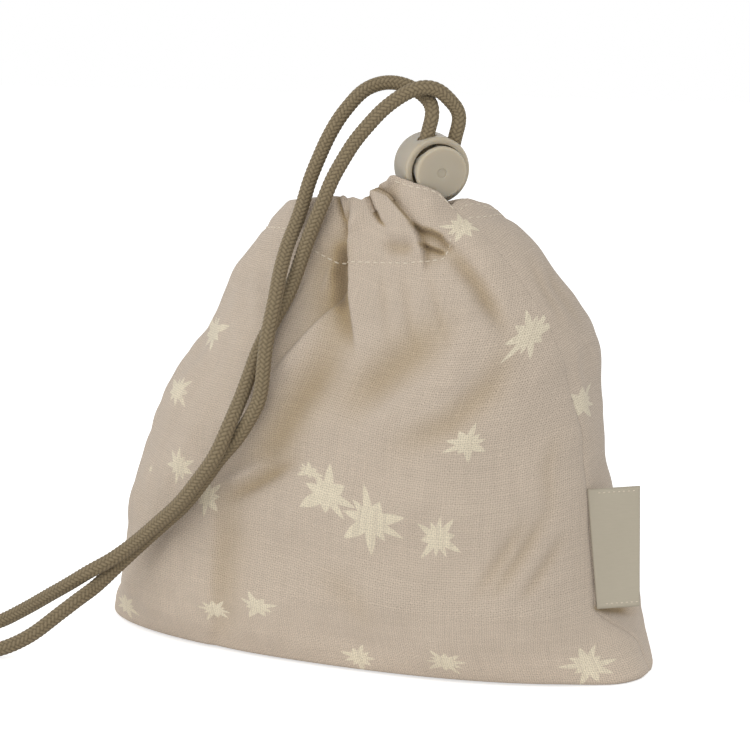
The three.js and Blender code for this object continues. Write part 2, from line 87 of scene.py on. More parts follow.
# Top edge and stitch line of the casing: angle round the pouch, height
RIM_FRONT = np.array([
    [-34.5, 122.6], [-37.4, 125], [-43, 126.8], [-53.6, 128.8], [-64, 130.4], [-67, 130.2],
    [-70, 128.8], [-76.5, 127.9], [-79, 126.9], [-83.2, 126.1], [-86, 124.9], [-89.5, 123.7],
    [-95.7, 124.4], [-101, 124.1], [-104, 124.8], [-127, 123.8], [-155, 122.4], [-180, 121.6],
])
RIM_BACK = np.array([
    [-34.5, 122.6], [-28, 123.6], [-22, 124.2], [-16, 124.4], [-10, 124.4], [-5, 124],
    [0, 123.4], [6, 123], [12, 122.6], [20, 122], [40, 120.6], [55, 121],
    [69, 122], [90, 122.4], [110, 121], [140, 120.6], [180, 121.6],
])
STITCH_FRONT = np.array([
    [-34.5, 119.6], [-51, 115.3], [-62, 109.4], [-77, 107.8], [-95, 107.4], [-104, 107], [-111, 109],
    [-130, 114.7], [-143, 114.6], [-180, 113.5],
])
STITCH_BACK = np.array([
    [-34.5, 119.6], [-15, 119.8], [10, 120], [40, 116], [90, 110], [150, 111], [180, 113.5],
])
HEM_BELOW_STITCH = 4.0
VENT_HEM = 4.5
VENT_STITCH_BELOW = 1.7
HEM_THICKNESS = 0.9
FOLD_THICKNESS = 3.0
TUNNEL_THICKNESS = 5.4
TUNNEL_LEAN = 0.6
TUNNEL_FULLNESS = 0.7
FRONT_VENT_ANGLE = -98.0
BACK_VENT_ANGLE = 78.0
VENT_CHANGE = 6.0
FRONT_VENT_STITCH_END = -66.0
BACK_VENT_STITCH_END = 60.0
PANEL_ROWS = 250
FOLD_ROWS = 8
INNER_ROWS = 26
BASE_ROWS = 9
FRONT_COLUMNS = 300
BACK_COLUMNS = 240
MIDDLE_ANGLE = 90
# Folds fade out where the cloth turns away from the eye
FACING = (-0.1, 0.25)
CALM_BASE = 10.0
CALM_TOP = (98.0, 116.0)
CALM_SHARE = 0.75
LABEL_PLACE = np.array([71.5, -9.0, 32.0])
LABEL_CALM = 24.0
EAR_PLACE = np.array([81.0, -10.0, 3.0])
EAR_REACH = 10.0
EAR_OUT = 2.6
SEAM_GROOVE = 0.35
SEAM_GROOVE_WIDTH = 1.2
SEAM_SMOOTH = (62.0, 88.0)
STITCH_GROOVE = 0.45
STITCH_GROOVE_WIDTH = 1.3
BACK_PLEATS = 10
BACK_PLEAT_DEPTH = 2.0
PLEAT_START = 62.0
PLEAT_FULL = 116.0
PLEAT_LEAN = 28.0
PLEAT_SIDE = (0.2, 0.4)
PLEAT_END = 0.12
PLEAT_SWAY = 0.8
PLEAT_SWAYS = 9
PLEAT_VARIES = 0.3
PLEAT_VARIES_OVER = 17
# Soft unevenness of the cloth: length and height of its waves
UNEVEN = [
    (46, 0.42), (38, 0.38), (31, 0.32), (24, 0.24), (17, 0.16), (13, 0.12), (10, 0.09), (7.5, 0.06),
    (5.5, 0.035),
]
WAVES_EACH = 2
WAVE_START = 6.3

# Folds of the cloth on the photo: line in pixels, height, width in pixels
SOFT_FOLDS = [
    ([(360, 180), (368, 196), (372, 207), (379, 220), (390, 229)], -2.2, 2.4),
    ([(366, 201), (359, 214), (350, 236)], 1.5, 8),
    ([(352, 203), (347, 222), (345, 244)], -1.3, 4),
    ([(333, 180), (336, 198), (339, 210), (345, 228)], -1.6, 2.4),
    ([(341, 225), (337, 262), (337, 295), (348, 352)], -1.6, 8),
    ([(338, 220), (328, 265), (326, 300), (334, 350)], -1.5, 20),
    ([(335, 252), (325, 278), (317, 296)], 1.0, 3.5),
    ([(360, 290), (318, 372), (288, 416), (258, 466), (206, 510)], -2.4, 20),
    ([(470, 304), (425, 342), (395, 366), (352, 402), (322, 430)], -2.0, 20),
    ([(528, 322), (489, 388), (450, 424), (370, 460)], -1.5, 15),
    ([(484, 314), (451, 381), (396, 409), (346, 454)], 0.8, 11),
    ([(430, 228), (460, 262), (478, 284), (489, 304), (512, 348)], -2.0, 9),
    ([(446, 208), (480, 250), (512, 300)], 1.0, 13),
    ([(236, 455), (224, 550), (222, 665)], -1.0, 17),
    ([(212, 484), (240, 474), (270, 456)], 1.1, 6),
    ([(214, 504), (255, 484), (304, 454)], -1.5, 7),
    ([(378, 244), (400, 247), (421, 249)], -1.7, 8),
    ([(381, 258), (384, 300), (390, 355)], -0.45, 5),
    ([(400, 258), (408, 310), (419, 365)], -0.45, 5),
    ([(424, 258), (438, 310), (453, 360)], -0.45, 5),
    ([(398, 184), (430, 202), (452, 214)], 3.0, 17),
    ([(392, 200), (398, 228), (410, 248)], 1.4, 12),
    ([(379, 190), (386, 183), (394, 175)], 1.5, 4.5),
    ([(580, 330), (582, 370), (583, 420)], 0.7, 4),
    ([(556, 498), (522, 556), (482, 613)], -1.1, 7),
    ([(534, 506), (503, 556), (466, 612)], -0.9, 7),
    ([(572, 524), (544, 568), (512, 615)], -0.8, 6),
    ([(450, 612), (530, 617), (610, 612)], 0.9, 11),
    ([(590, 606), (606, 608), (642, 612)], -2.0, 5),
    ([(590, 634), (620, 638), (650, 650)], 1.6, 14),
    ([(540, 246), (566, 296), (590, 340)], -0.6, 5),
    ([(522, 244), (548, 290), (572, 336)], -0.5, 5),
    ([(560, 420), (548, 470), (552, 530)], -0.6, 8),
    ([(310, 560), (345, 590), (380, 640)], -0.6, 14),
]
# Overlapping folds, low on the right hand of the line's way: line in pixels, drop,
# width in pixels, lip, softness in pixels
LOBE_EDGE = (
    [(424, 276), (423, 252), (418, 236), (412, 223), (404, 213), (397, 205), (388, 194), (377, 189),
     (356, 184)],
    2.6, 7, 0.9, 1.4,
)
STEP_FOLDS = [
    LOBE_EDGE,
    ([(352, 190), (347, 225), (346, 262), (348, 300), (356, 360)], 2.0, 12, 1.0, 2.0),
    ([(356, 272), (344, 288), (312, 326), (284, 358), (266, 380)], 0.9, 14, 0.6, 1.5),
    ([(210, 665), (213, 560), (214, 465)], 0.6, 17, 0.2, 3),
]
# Folds of the flap that comes out from under the lobe
FLAP_FOLDS = [
    ([(392, 212), (411, 222), (425, 229), (440, 235), (458, 250)], 3.0, 8, 0.7, 1.6),
    ([(400, 236), (418, 243), (430, 247), (448, 253)], 2.4, 5, 0.4, 1.4),
]
# Deep creases that little light reaches, darkened by painted shade: line in pixels, width in pixels, darkness
# of the painted shade
CREASES = [
    ([(352, 186), (378, 189.5), (388, 194.5), (397, 205.5), (404, 213.5), (416, 228)], 1.3, 0.8),
    ([(362, 186), (370, 201), (374, 213), (380, 221.5), (389, 229)], 1.3, 0.7),
    ([(406, 220), (420, 228), (432, 231.5), (447, 239)], 2.4, 0.65),
    ([(416, 241.5), (431, 248), (446, 253)], 2.4, 0.65),
    ([(333, 186), (336, 199), (339, 210), (345, 226)], 1.3, 0.4),
    ([(344, 236), (337, 272), (339, 314)], 7.5, 0.7),
    ([(590, 608), (606, 609), (632, 610)], 2.5, 0.5),
]
FOLD_FADE = 0.42
STEP_FADE = 0.22
# Depth of a fold valley at which its painted shade is full
HOLLOW_SHADE_DEPTH = 3.2

# Scattered stars: place on the photo in pixels, size, how much wider than high
PHOTO_STARS = [
    (214, 331, 6.2, 1.9), (178, 390, 5.4, 1.6), (179, 466, 5.6, 1.2), (151, 469, 1.2, 1), (207, 497, 6, 1),
    (309, 471, 2.6, 2), (326, 493, 7.8, 1.3), (370, 521, 9.2, 1.2), (437, 538, 7, 1.1), (467, 443, 5.4, 1.4),
    (531, 334, 7.6, 1), (462, 226, 6.2, 1.2), (583, 402, 5.8, 1.5), (589, 664, 8.4, 1), (445, 663, 6.4, 1),
    (358, 657, 5.8, 1), (257, 607, 6.6, 1), (216, 610, 5.8, 1), (126, 605, 5.4, 1.6),
]
STAR_POINTS = (8, 11)
# Rays of a star: how they bend, differ in length and narrow, and how crisp its edge is
RAY_BEND = 0.022
RAY_ORDER = 2.4
RAY_MIX = 40.0
RAY_VARIES = 0.34
RAY_TAPER = 1.3
RAY_SHARE = 0.6
STAR_EDGE = 2.0
# Stars of the side that the photo doesn't show: share of the panel's width, height, size
BACK_STARS = [
    (0.2, 40, 5.2), (0.3, 78, 4.6), (0.33, 20, 4.2), (0.42, 52, 5.6), (0.5, 90, 4.4), (0.55, 26, 5.0),
    (0.6, 64, 3.2), (0.68, 44, 5.8), (0.72, 84, 4.8), (0.8, 22, 4.8), (0.85, 62, 5.2), (0.93, 36, 4.0),
]
BACK_STAR_TOP = 124

# Drawstring
CORD_DIAMETER = 4.0
BRAID_STRANDS = 8
BRAID_PITCH = 1.25
BRAID_RELIEF = 0.36
BRAID_DIVE = 0.75
BRAID_DIVE_POWER = 5
CORD_SIDES = 60
CORD_STEP = 0.24
ROUTE_STEPS = 24
CORD_STRAIGHT = 3.5
CORD_EASE = 5.0
CORD_INSIDE_LOCK = 5.0
CORD_PAST_LOCK = 1.0
ACROSS_HINT = (0.3, 0.2, 0.9)
TAIL_LEFT_ROUTE = np.array([
    [18.8, -3.4, 148.1], [16, -1.6, 150.4], [12.3, -1, 152.5], [8.5, -1.7, 153.9], [5.1, -2.9, 154.2],
    [2, -4.8, 153.4], [-0.4, -6.9, 151.7], [-2.3, -8.7, 149.1], [-5, -11.5, 144.5], [-7.5, -13.5, 139],
    [-9.5, -15, 133.5], [-11.5, -16, 128], [-12.8, -17, 122.5], [-13.6, -18.7, 118], [-14.8, -22.5, 111],
    [-14.6, -27, 104], [-13.9, -31, 97.2], [-14, -33.5, 91.5], [-14.5, -35.2, 84.5], [-15, -35.7, 77.5],
    [-16, -36.2, 71], [-18.5, -37, 66], [-22, -37.7, 60.5], [-27, -38, 55], [-32, -38.2, 48.5],
    [-38, -38, 41.5], [-46, -37.1, 34.6], [-54.5, -36.7, 27.3], [-59.6, -39.6, 21.8], [-63.4, -44.6, 16.8],
    [-65, -49.5, 14.7], [-69, -55, 10.5], [-74, -61.5, 5.5], [-80, -67.5, 2.6], [-87, -71, 2.2],
    [-95, -71, 2.2], [-103, -68, 2.2], [-111, -65, 2.6], [-119, -64.2, 4.5],
])
TAIL_RIGHT_ROUTE = np.array([
    [24.7, 1.1, 146.6], [22.9, -0.7, 149.4], [20.9, -2.8, 152.2], [17.9, -5.3, 153.3], [14.6, -7, 152.4],
    [10.8, -9.1, 149.9], [7.6, -10.9, 147], [5.2, -12.4, 144], [1.5, -14.5, 139], [-1.5, -16, 133.7],
    [-4, -17.5, 128.5], [-5.5, -18.5, 124], [-7, -19.2, 120], [-9, -19.8, 115], [-11, -20.7, 109],
    [-12.5, -22.2, 103], [-13.7, -24.4, 98], [-15.7, -28, 92], [-18.5, -31.3, 84.5], [-20.2, -33.9, 77.2],
    [-21.6, -36.5, 70.8], [-22.8, -40.7, 64.1], [-25.4, -43.1, 56.7], [-30.9, -42.8, 49.7],
    [-37, -42.4, 42.7],
    [-45, -41.6, 35.9], [-53.4, -41.3, 29], [-59, -43.6, 24.6], [-64, -45.6, 21.6], [-70.2, -46.4, 17.6],
    [-77.6, -46.4, 13.2], [-86.4, -46, 8], [-95.4, -47.4, 3.3], [-102.4, -50.9, 2.2], [-107.5, -55, 2.2],
    [-113, -58, 2.6], [-119, -58.8, 4.5],
])
LOOP_INSET = 2.9
LOOP_POINTS = 19
LOOP_BESIDE = 4.0
LOOP_NEAR = 7
LOOP_START = 8
LOOP_END = 4
LOOP_STRAIGHT = 1.5
KNOT_START = np.array([-119.6, -61.5, 5.3])
KNOT_COIL = 3.0
KNOT_PITCH = 3.9
KNOT_TURNS = 2.6
KNOT_ENTRY = 4.5
KNOT_STEPS = 60
CORD_END = 11.0
CORD_END_APART = 2.4
CORD_END_SPREAD = 3.6
CORD_END_DROPS = (-0.6, -1.8, -3.0)

# Cord lock
LOCK_CENTRE = np.array([19.1, -3.05, 131.7])
DRUM_RADIUS = 9.0
DRUM_FRONT = 3.8
DRUM_BACK = 10.7
BORE_RADIUS = 7.15
BORE_END = 6.7
POCKET_RADIUS = 3.05
POCKET_END = 9.2
BACK_ROUND = 5.0
RIM_ROUND = 0.9
BORE_ROUND = 0.35
PLUNGER_RADIUS = 7.0
PLUNGER_HEAD = 7.2
PLUNGER_TAIL = 3.9
PLUNGER_TRAVEL = 2.5
HEAD_THICKNESS = 1.4
HEAD_ROUND = 0.7
NECK_RADIUS = 6.6
NECK_START = 1.3
GATE_RADIUS = 1.2
GATE_DEPTH = 0.3
GATE_ROUND = 0.25
CORD_SPACING = 7.8
HOLE_RADIUS = 2.4
HOLE_REACH = 20.0
HOLE_STEPS = 24
SPRING_RADIUS = 2.4
SPRING_WIRE = 0.5
SPRING_TURNS = 4
SPRING_GAP = 0.4
SPRING_STEPS = 40
SPRING_SIDES = 10
LATHE_SEGMENTS = 144
ROUND_STEPS = 8
AXIS_RADIUS = 0.05
SHARP_ANGLE = 40

# Folded label in the side seam
LABEL_WIDTH = 13.0
LABEL_LENGTH = 31.2
LABEL_TAPER = 0.2
LABEL_TURN = 27.0
LABEL_REACH = 0.9
LABEL_LAYER = 0.25
LABEL_SPACE = 0.3
LABEL_BULGE = 0.5
LABEL_BULGE_PLACE = 0.4
LABEL_COLUMNS = 26
LABEL_ROWS = 40
LABEL_FOLD_STEPS = 8
LABEL_STITCH_INSET = 1.2
LABEL_STITCH_START = 1.2
LABEL_STITCH_END = 0.3
LABEL_STITCH_POINTS = 30

# Stitches
STITCH_LENGTH = 1.6
STITCH_SPACE = 0.55
STITCH_RADIUS = 0.2
LABEL_STITCH_LENGTH = 0.75
LABEL_STITCH_RADIUS = 0.15
STITCH_SIDES = 6
STITCH_RINGS = 7
STITCH_SINK = 0.6
STITCH_VARIES = (0.92, 1.04)
STITCH_TIP = 0.02
STITCH_TAPER = 0.4

# Colours as they look, in shares of 255
CLOTH_COLOUR = (190, 175, 158)
# Painted shade: the yellow-brown that the fold valleys are coloured
HOLLOW_SHADE_COLOUR = (164, 144, 113)
# Painted shade: the dark brown of the creases
CREASE_SHADE_COLOUR = (108, 90, 68)
STAR_COLOUR = (213, 202, 179)
CORD_COLOUR = (140, 125, 98)
# Painted shade in the gaps between the cord's strands
CORD_GAP_SHADE_COLOUR = (62, 51, 36)
PLASTIC_COLOUR = (180, 170, 151)
LABEL_COLOUR = (171, 162, 143)
STITCH_COLOUR = (214, 203, 184)
STEEL_COLOUR = (170, 170, 168)

# Weave of the cloth, and the painted light that makes it paler at the base
BASE_PAINTED_LIGHT = 0.16
BASE_PAINTED_LIGHT_HEIGHT = 34.0
THREAD = 0.6
PORE_DARKNESS = 0.66
WEAVE_CONTRAST = 0.06
MEAN_PORE = 0.13
SLUB_THIN = 1.3
SLUB_LONG = 0.05
SLUB_SHARE = 0.16
WANDER_SCALE = 0.6
PRINT_GAIN = 1.4
PRINT_LEAST = 0.28
MOTTLE_SCALE = 0.08
MOTTLE_SHARE = 0.08
CLOTH_BUMP = (0.00016, 0.6)

# Grain of the other materials
FIBRE_SCALE = 2500.0
FIBRE_SHARE = 0.4
# Curve of the painted shade between the cord's strands
GAP_SHADE_POWER = 0.7
PLASTIC_GRAIN = 900.0
PLASTIC_BUMP = (0.00003, 0.25)
LABEL_THREAD = 0.3
LABEL_SLUB = (0.3, 3.0, 0)
LABEL_SLUB_SHARE = 0.1
LABEL_BUMP = (0.00004, 0.3)

# Light
WORLD_LIGHT = 0.68
KEY_POWER = 5.8
KEY_SIZE = 1.6
KEY_PLACE = (0.55, -1.1, 0.8)
FILL_POWER = 7.0
FILL_SIZE = 1.6
FILL_PLACE = (-0.8, -0.95, 0.15)
FLOOR_SIZE = 6.0
FLOOR_COLOUR = 0.9
FLOOR_GLOW = 0.6

rng = np.random.default_rng(7)


def smoothstep(low, high, value):
    part = np.clip((value - low) / (high - low), 0, 1)
    return part * part * (3 - 2 * part)


def unit(vectors):
    return vectors / np.linalg.norm(vectors, axis=-1, keepdims=True)


# From 1 in the middle of a form to almost 0 beyond its width
def bell(gap, width):
    return np.exp(-((gap / width) ** 2))


# Smooth curve from one value to the next, with the slopes at both
def curve(part, span, low, high, first, last):
    start = low * (1 + 2 * part) * (1 - part) ** 2 + first * span * part * (1 - part) ** 2
    return start + high * part**2 * (3 - 2 * part) + last * span * part**2 * (part - 1)


# Length along a path up to each of its points
def lengths_along(path):
    return np.concatenate([[0], np.cumsum(np.linalg.norm(np.diff(path, axis=0), axis=1))])


# Points or directions at some lengths, from those given along a path
def at_lengths(lengths, along, values):
    return np.stack([np.interp(lengths, along, values[:, k]) for k in range(3)], axis=-1)


def circle(sides):
    return np.linspace(0, 2 * math.pi, sides, endpoint=False)


# Directions round each place of a path, from two directions across it
def ring(turn, first, second):
    return np.cos(turn)[:, None] * first[:, None] + np.sin(turn)[:, None] * second[:, None]


# Directions of the camera: right, up and back towards the eye
def view_axes():
    azimuth = math.radians(CAMERA_AZIMUTH)
    elevation = math.radians(CAMERA_ELEVATION)
    right = np.array([math.cos(azimuth), math.sin(azimuth), 0])
    level = math.cos(elevation)
    back = np.array([math.sin(azimuth) * level, -math.cos(azimuth) * level, math.sin(elevation)])
    return right, np.cross(back, right), back


RIGHT, UP, BACK = view_axes()
EYE = CAMERA_TARGET + CAMERA_DISTANCE * BACK


# Where points of the object are seen on the photo, in pixels
def photo_xy(points):
    offset = points - EYE
    scale = -FOCAL_PIXELS / (offset @ BACK)
    across = PHOTO_SIZE / 2 + scale * (offset @ RIGHT)
    down = PHOTO_SIZE / 2 - scale * (offset @ UP)
    return np.stack([across, down], axis=-1)


# Meshes and pieces

def grid_faces(rows, columns, around=False, flip=False):
    index = np.arange(rows * columns).reshape(rows, columns)
    if around:
        index = np.concatenate([index, index[:, :1]], axis=1)
    corners = [index[:-1, :-1], index[:-1, 1:], index[1:, 1:], index[1:, :-1]]
    if flip:
        corners.reverse()
    return np.stack(corners, axis=-1).reshape(-1, 4)


# Faces of a tube of rings, closed at both ends
def tube_faces(rings, sides):
    last = (rings - 1) * sides
    ends = [list(range(sides)), list(range(last, last + sides))]
    return grid_faces(rings, sides, around=True).tolist() + ends


def add_object(name, data):
    made = bpy.data.objects.new(name, data)
    bpy.context.scene.collection.objects.link(made)
    return made


# A piece from points in millimetres, with an attribute for its material where it has one
def make_piece(name, points, faces, material, attribute=None, closed=False):
    mesh = bpy.data.meshes.new(name)
    mesh.from_pydata((points.reshape(-1, 3) * MM).tolist(), [], [list(map(int, face)) for face in faces])
    mesh.polygons.foreach_set("use_smooth", [True] * len(mesh.polygons))
    if attribute is not None:
        label, values = attribute
        kind = "FLOAT" if values.ndim == 1 else "FLOAT_VECTOR"
        store = mesh.attributes.new(label, kind, "POINT")
        field = "value" if kind == "FLOAT" else "vector"
        store.data.foreach_set(field, values.astype(np.float32).ravel())
    if closed:
        outward_faces(mesh)
    mesh.materials.append(material)
    return add_object(name, mesh)


def outward_faces(mesh):
    shape = bmesh.new()
    shape.from_mesh(mesh)
    bmesh.ops.recalc_face_normals(shape, faces=shape.faces)
    shape.to_mesh(mesh)
    shape.free()


# The mesh with its modifiers made real
def settle(piece):
    ready = piece.evaluated_get(bpy.context.evaluated_depsgraph_get())
    mesh = bpy.data.meshes.new_from_object(ready)
    piece.modifiers.clear()
    piece.data = mesh
    return piece


def cut(piece, cutters):
    for cutter in cutters:
        change = piece.modifiers.new("cut", "BOOLEAN")
        change.operation = "DIFFERENCE"
        change.solver = "EXACT"
        change.object = cutter
    settle(piece)
    for cutter in cutters:
        bpy.data.objects.remove(cutter)
    return piece


def place(piece, body, slot, *nodes):
    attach(piece, body)
    if nodes:
        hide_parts(*nodes)
    return piece


# Materials

class Nodes:
    """A node tree, where a value is a number, a colour or another node's output."""

    def __init__(self, tree):
        self.tree = tree

    def node(self, kind, inputs=(), **settings):
        made = self.tree.nodes.new(kind)
        for key, value in settings.items():
            setattr(made, key, value)
        for key, value in dict(inputs).items():
            self.feed(made.inputs[key], value)
        return made

    def feed(self, socket, value):
        if isinstance(value, bpy.types.NodeSocket):
            self.tree.links.new(value, socket)
        else:
            socket.default_value = value

    def math(self, operation, *values):
        return self.node("ShaderNodeMath", enumerate(values), operation=operation).outputs[0]


class Paint(Nodes):
    """A material with its nodes."""

    def __init__(self, name):
        self.material = bpy.data.materials.new(name)
        self.material.use_nodes = True
        super().__init__(self.material.node_tree)
        self.shader = self.tree.nodes["Principled BSDF"]

    def mix(self, share, low, high):
        return self.node("ShaderNodeMix", {0: share, 6: low, 7: high}, data_type="RGBA").outputs[2]

    def shade(self, colour, amount):
        colour = colour if isinstance(colour, bpy.types.NodeSocket) else colour[:3]
        return self.node("ShaderNodeVectorMath", {0: colour, "Scale": amount}, operation="SCALE").outputs[0]

    # Place on the cloth, kept with the mesh, and its three parts, the third of which carries the painted
    # shade of the fold valleys and creases
    def cloth(self):
        vector = self.node("ShaderNodeAttribute", attribute_name="cloth").outputs["Vector"]
        return vector, self.node("ShaderNodeSeparateXYZ", {0: vector}).outputs

    def noise(self, vector, scale, detail=2.0):
        inputs = {"Vector": vector, "Scale": scale, "Detail": detail}
        return self.node("ShaderNodeTexNoise", inputs).outputs["Fac"]

    def stretch(self, vector, amounts):
        return self.node("ShaderNodeVectorMath", {0: vector, 1: amounts}, operation="MULTIPLY").outputs[0]

    def set(self, **values):
        for key, value in values.items():
            self.feed(self.shader.inputs[key.replace("_", " ")], value)

    def bump(self, height, distance, strength):
        inputs = {"Height": height, "Distance": distance, "Strength": strength}
        self.feed(self.shader.inputs["Normal"], self.node("ShaderNodeBump", inputs).outputs[0])


def colour(look):
    share = np.array(look) / 255
    linear = np.where(share <= 0.04045, share / 12.92, ((share + 0.055) / 1.055) ** 2.4)
    return (*linear.tolist(), 1.0)


# Node group that gives 1 inside an irregular star with many points and 0 outside
def star_group():
    group = bpy.data.node_groups.new("star", "ShaderNodeTree")
    sockets = {name: "NodeSocketVector" for name in ("Place", "Centre")}
    sockets |= {name: "NodeSocketFloat" for name in ("Size", "Widen", "Turn", "Points")}
    for name, kind in sockets.items():
        group.interface.new_socket(name, in_out="INPUT", socket_type=kind)
    group.interface.new_socket("Inside", in_out="OUTPUT", socket_type="NodeSocketFloat")
    nodes = Nodes(group)
    step = nodes.math
    start = nodes.node("NodeGroupInput").outputs
    end = nodes.node("NodeGroupOutput").inputs
    ends = {0: start["Place"], 1: start["Centre"]}
    offset = nodes.node("ShaderNodeVectorMath", ends, operation="SUBTRACT").outputs[0]
    parts = nodes.node("ShaderNodeSeparateXYZ", {0: offset}).outputs
    across, along = step("DIVIDE", parts[0], start["Widen"]), parts[1]
    reach = step("SQRT", step("ADD", step("MULTIPLY", across, across), step("MULTIPLY", along, along)))
    turn = step("ADD", step("DIVIDE", step("ARCTAN2", along, across), 2 * math.pi), start["Turn"])
    bend = step("SINE", step("MULTIPLY", step("ADD", turn, start["Turn"]), 4 * math.pi))
    ray = step("MULTIPLY", step("MULTIPLY_ADD", bend, RAY_BEND, step("ADD", turn, 2.0)), start["Points"])
    beside = step("MULTIPLY", step("ABSOLUTE", step("SUBTRACT", step("FRACT", ray), 0.5)), 2.0)
    number = step("FLOORED_MODULO", step("FLOOR", ray), start["Points"])
    mixed = step("SINE", step("MULTIPLY_ADD", number, RAY_ORDER, step("MULTIPLY", start["Turn"], RAY_MIX)))
    length = step("MULTIPLY_ADD", mixed, RAY_VARIES, 1 - RAY_VARIES)
    spike = step("POWER", step("SUBTRACT", 1.0, beside), RAY_TAPER)
    share = step("MULTIPLY_ADD", step("MULTIPLY", spike, length), RAY_SHARE, 1 - RAY_SHARE)
    edge = step("SUBTRACT", step("MULTIPLY", share, start["Size"]), reach)
    inside = step("MULTIPLY_ADD", edge, STAR_EDGE, 0.5)
    nodes.feed(end["Inside"], step("MINIMUM", step("MAXIMUM", inside, 0.0), 1.0))
    return group


# Thin plain weave with uneven threads and a scatter of stars
def cloth_material(name, stars, group):
    paint = Paint(name)
    cloth, parts = paint.cloth()
    warp_slub = paint.noise(paint.stretch(cloth, (SLUB_THIN, SLUB_LONG, 0)), 1.0)
    weft_slub = paint.noise(paint.stretch(cloth, (SLUB_LONG, SLUB_THIN, 0)), 1.0)
    wander = paint.noise(cloth, WANDER_SCALE)
    places = [paint.math("ADD", part, wander) for part in (parts[0], parts[1])]
    waves = [paint.math("SINE", paint.math("MULTIPLY", at, math.pi / THREAD)) for at in places]
    over = paint.math("MULTIPLY", *waves)
    beside = [paint.math("SUBTRACT", 1.0, paint.math("ABSOLUTE", wave)) for wave in waves]
    pore = paint.math("MULTIPLY", *beside)
    height = paint.math("SUBTRACT", paint.math("MULTIPLY", over, 0.5), pore)
    printed = paint.math("MINIMUM", paint.math("MULTIPLY_ADD", warp_slub, PRINT_GAIN, PRINT_LEAST), 1.0)
    mask = paint.math("MULTIPLY", star_mask(paint, cloth, stars, group), printed)
    # Painted shade: yellow-brown in the fold valleys
    bare_with_shade = paint.mix(parts[2], colour(CLOTH_COLOUR), colour(HOLLOW_SHADE_COLOUR))
    # Painted shade: dark brown in the creases
    bare_with_shade = paint.mix(paint.math("SUBTRACT", parts[2], 1.0), bare_with_shade, colour(CREASE_SHADE_COLOUR))
    ground = paint.mix(mask, bare_with_shade, colour(STAR_COLOUR))
    threads = paint.math("MULTIPLY_ADD", pore, -PORE_DARKNESS, 1 + PORE_DARKNESS * MEAN_PORE)
    threads = paint.math("MULTIPLY_ADD", over, WEAVE_CONTRAST, threads)
    slubs = paint.math("MULTIPLY_ADD", paint.math("ADD", warp_slub, weft_slub), SLUB_SHARE, 1 - SLUB_SHARE)
    mottle_and_base_light = paint.noise(cloth, MOTTLE_SCALE, 3.0)
    mottle_and_base_light = paint.math("MULTIPLY_ADD", mottle_and_base_light, MOTTLE_SHARE, 1 - MOTTLE_SHARE / 2)
    # Painted light: the colour is paler towards the base, fading out at the given height
    base_light = {0: parts[1], 2: BASE_PAINTED_LIGHT_HEIGHT, 3: 1 + BASE_PAINTED_LIGHT, 4: 1.0}
    mottle_and_base_light = paint.math("MULTIPLY", mottle_and_base_light, paint.node("ShaderNodeMapRange", base_light).outputs[0])
    amount = paint.math("MULTIPLY", paint.math("MULTIPLY", threads, slubs), mottle_and_base_light)
    paint.set(Base_Color=paint.shade(ground, amount), Roughness=0.9, Specular_IOR_Level=0.15)
    paint.set(Sheen_Weight=0.15, Sheen_Roughness=0.6)
    paint.bump(height, *CLOTH_BUMP)
    return paint.material


# From 0 on bare cloth to 1 on the printed stars
def star_mask(paint, cloth, stars, group):
    mask = 0.0
    names = ("Place", "Centre", "Size", "Widen", "Turn", "Points")
    for star in stars:
        made = paint.node("ShaderNodeGroup", zip(names, (cloth, *star)), node_tree=group)
        mask = paint.math("MAXIMUM", mask, made.outputs[0])
    return mask


# Braided cord, with painted shade between its strands
def cord_material():
    paint = Paint("drawstring_braid")
    relief = paint.node("ShaderNodeAttribute", attribute_name="relief").outputs["Fac"]
    place_on = paint.node("ShaderNodeTexCoord").outputs["Object"]
    fibres = paint.noise(place_on, FIBRE_SCALE, 3.0)
    # Painted shade: darker down in the gaps between the strands
    depth = paint.math("POWER", relief, GAP_SHADE_POWER)
    base = paint.mix(depth, colour(CORD_GAP_SHADE_COLOUR), colour(CORD_COLOUR))
    amount = paint.math("MULTIPLY_ADD", fibres, FIBRE_SHARE, 1 - FIBRE_SHARE / 2)
    paint.set(Base_Color=paint.shade(base, amount), Roughness=0.75, Specular_IOR_Level=0.25, Sheen_Weight=0.1)
    return paint.material


# Satin plastic that lets a little light in
def plastic_material(name):
    paint = Paint(name)
    place_on = paint.node("ShaderNodeTexCoord").outputs["Object"]
    grain = paint.noise(place_on, PLASTIC_GRAIN, 3.0)
    paint.set(Base_Color=colour(PLASTIC_COLOUR), Roughness=0.38)
    paint.set(Subsurface_Weight=0.7, Subsurface_Radius=(1.0, 0.8, 0.55), Subsurface_Scale=0.004)
    paint.bump(grain, *PLASTIC_BUMP)
    return paint.material


# Smooth satin ribbon with fine cross threads
def label_material():
    paint = Paint("label_satin")
    cloth, parts = paint.cloth()
    rows = paint.math("SINE", paint.math("MULTIPLY", parts[1], 2 * math.pi / LABEL_THREAD))
    slubs = paint.noise(paint.stretch(cloth, LABEL_SLUB), 1.0)
    amount = paint.math("MULTIPLY_ADD", slubs, LABEL_SLUB_SHARE, 1 - LABEL_SLUB_SHARE / 2)
    paint.set(Base_Color=paint.shade(colour(LABEL_COLOUR), amount), Roughness=0.5, Sheen_Weight=0.2)
    paint.bump(rows, *LABEL_BUMP)
    return paint.material


def plain_material(name, look, roughness, metallic=0.0):
    paint = Paint(name)
    paint.set(Base_Color=colour(look), Roughness=roughness, Metallic=metallic)
    return paint.material


# Cloth of the pouch

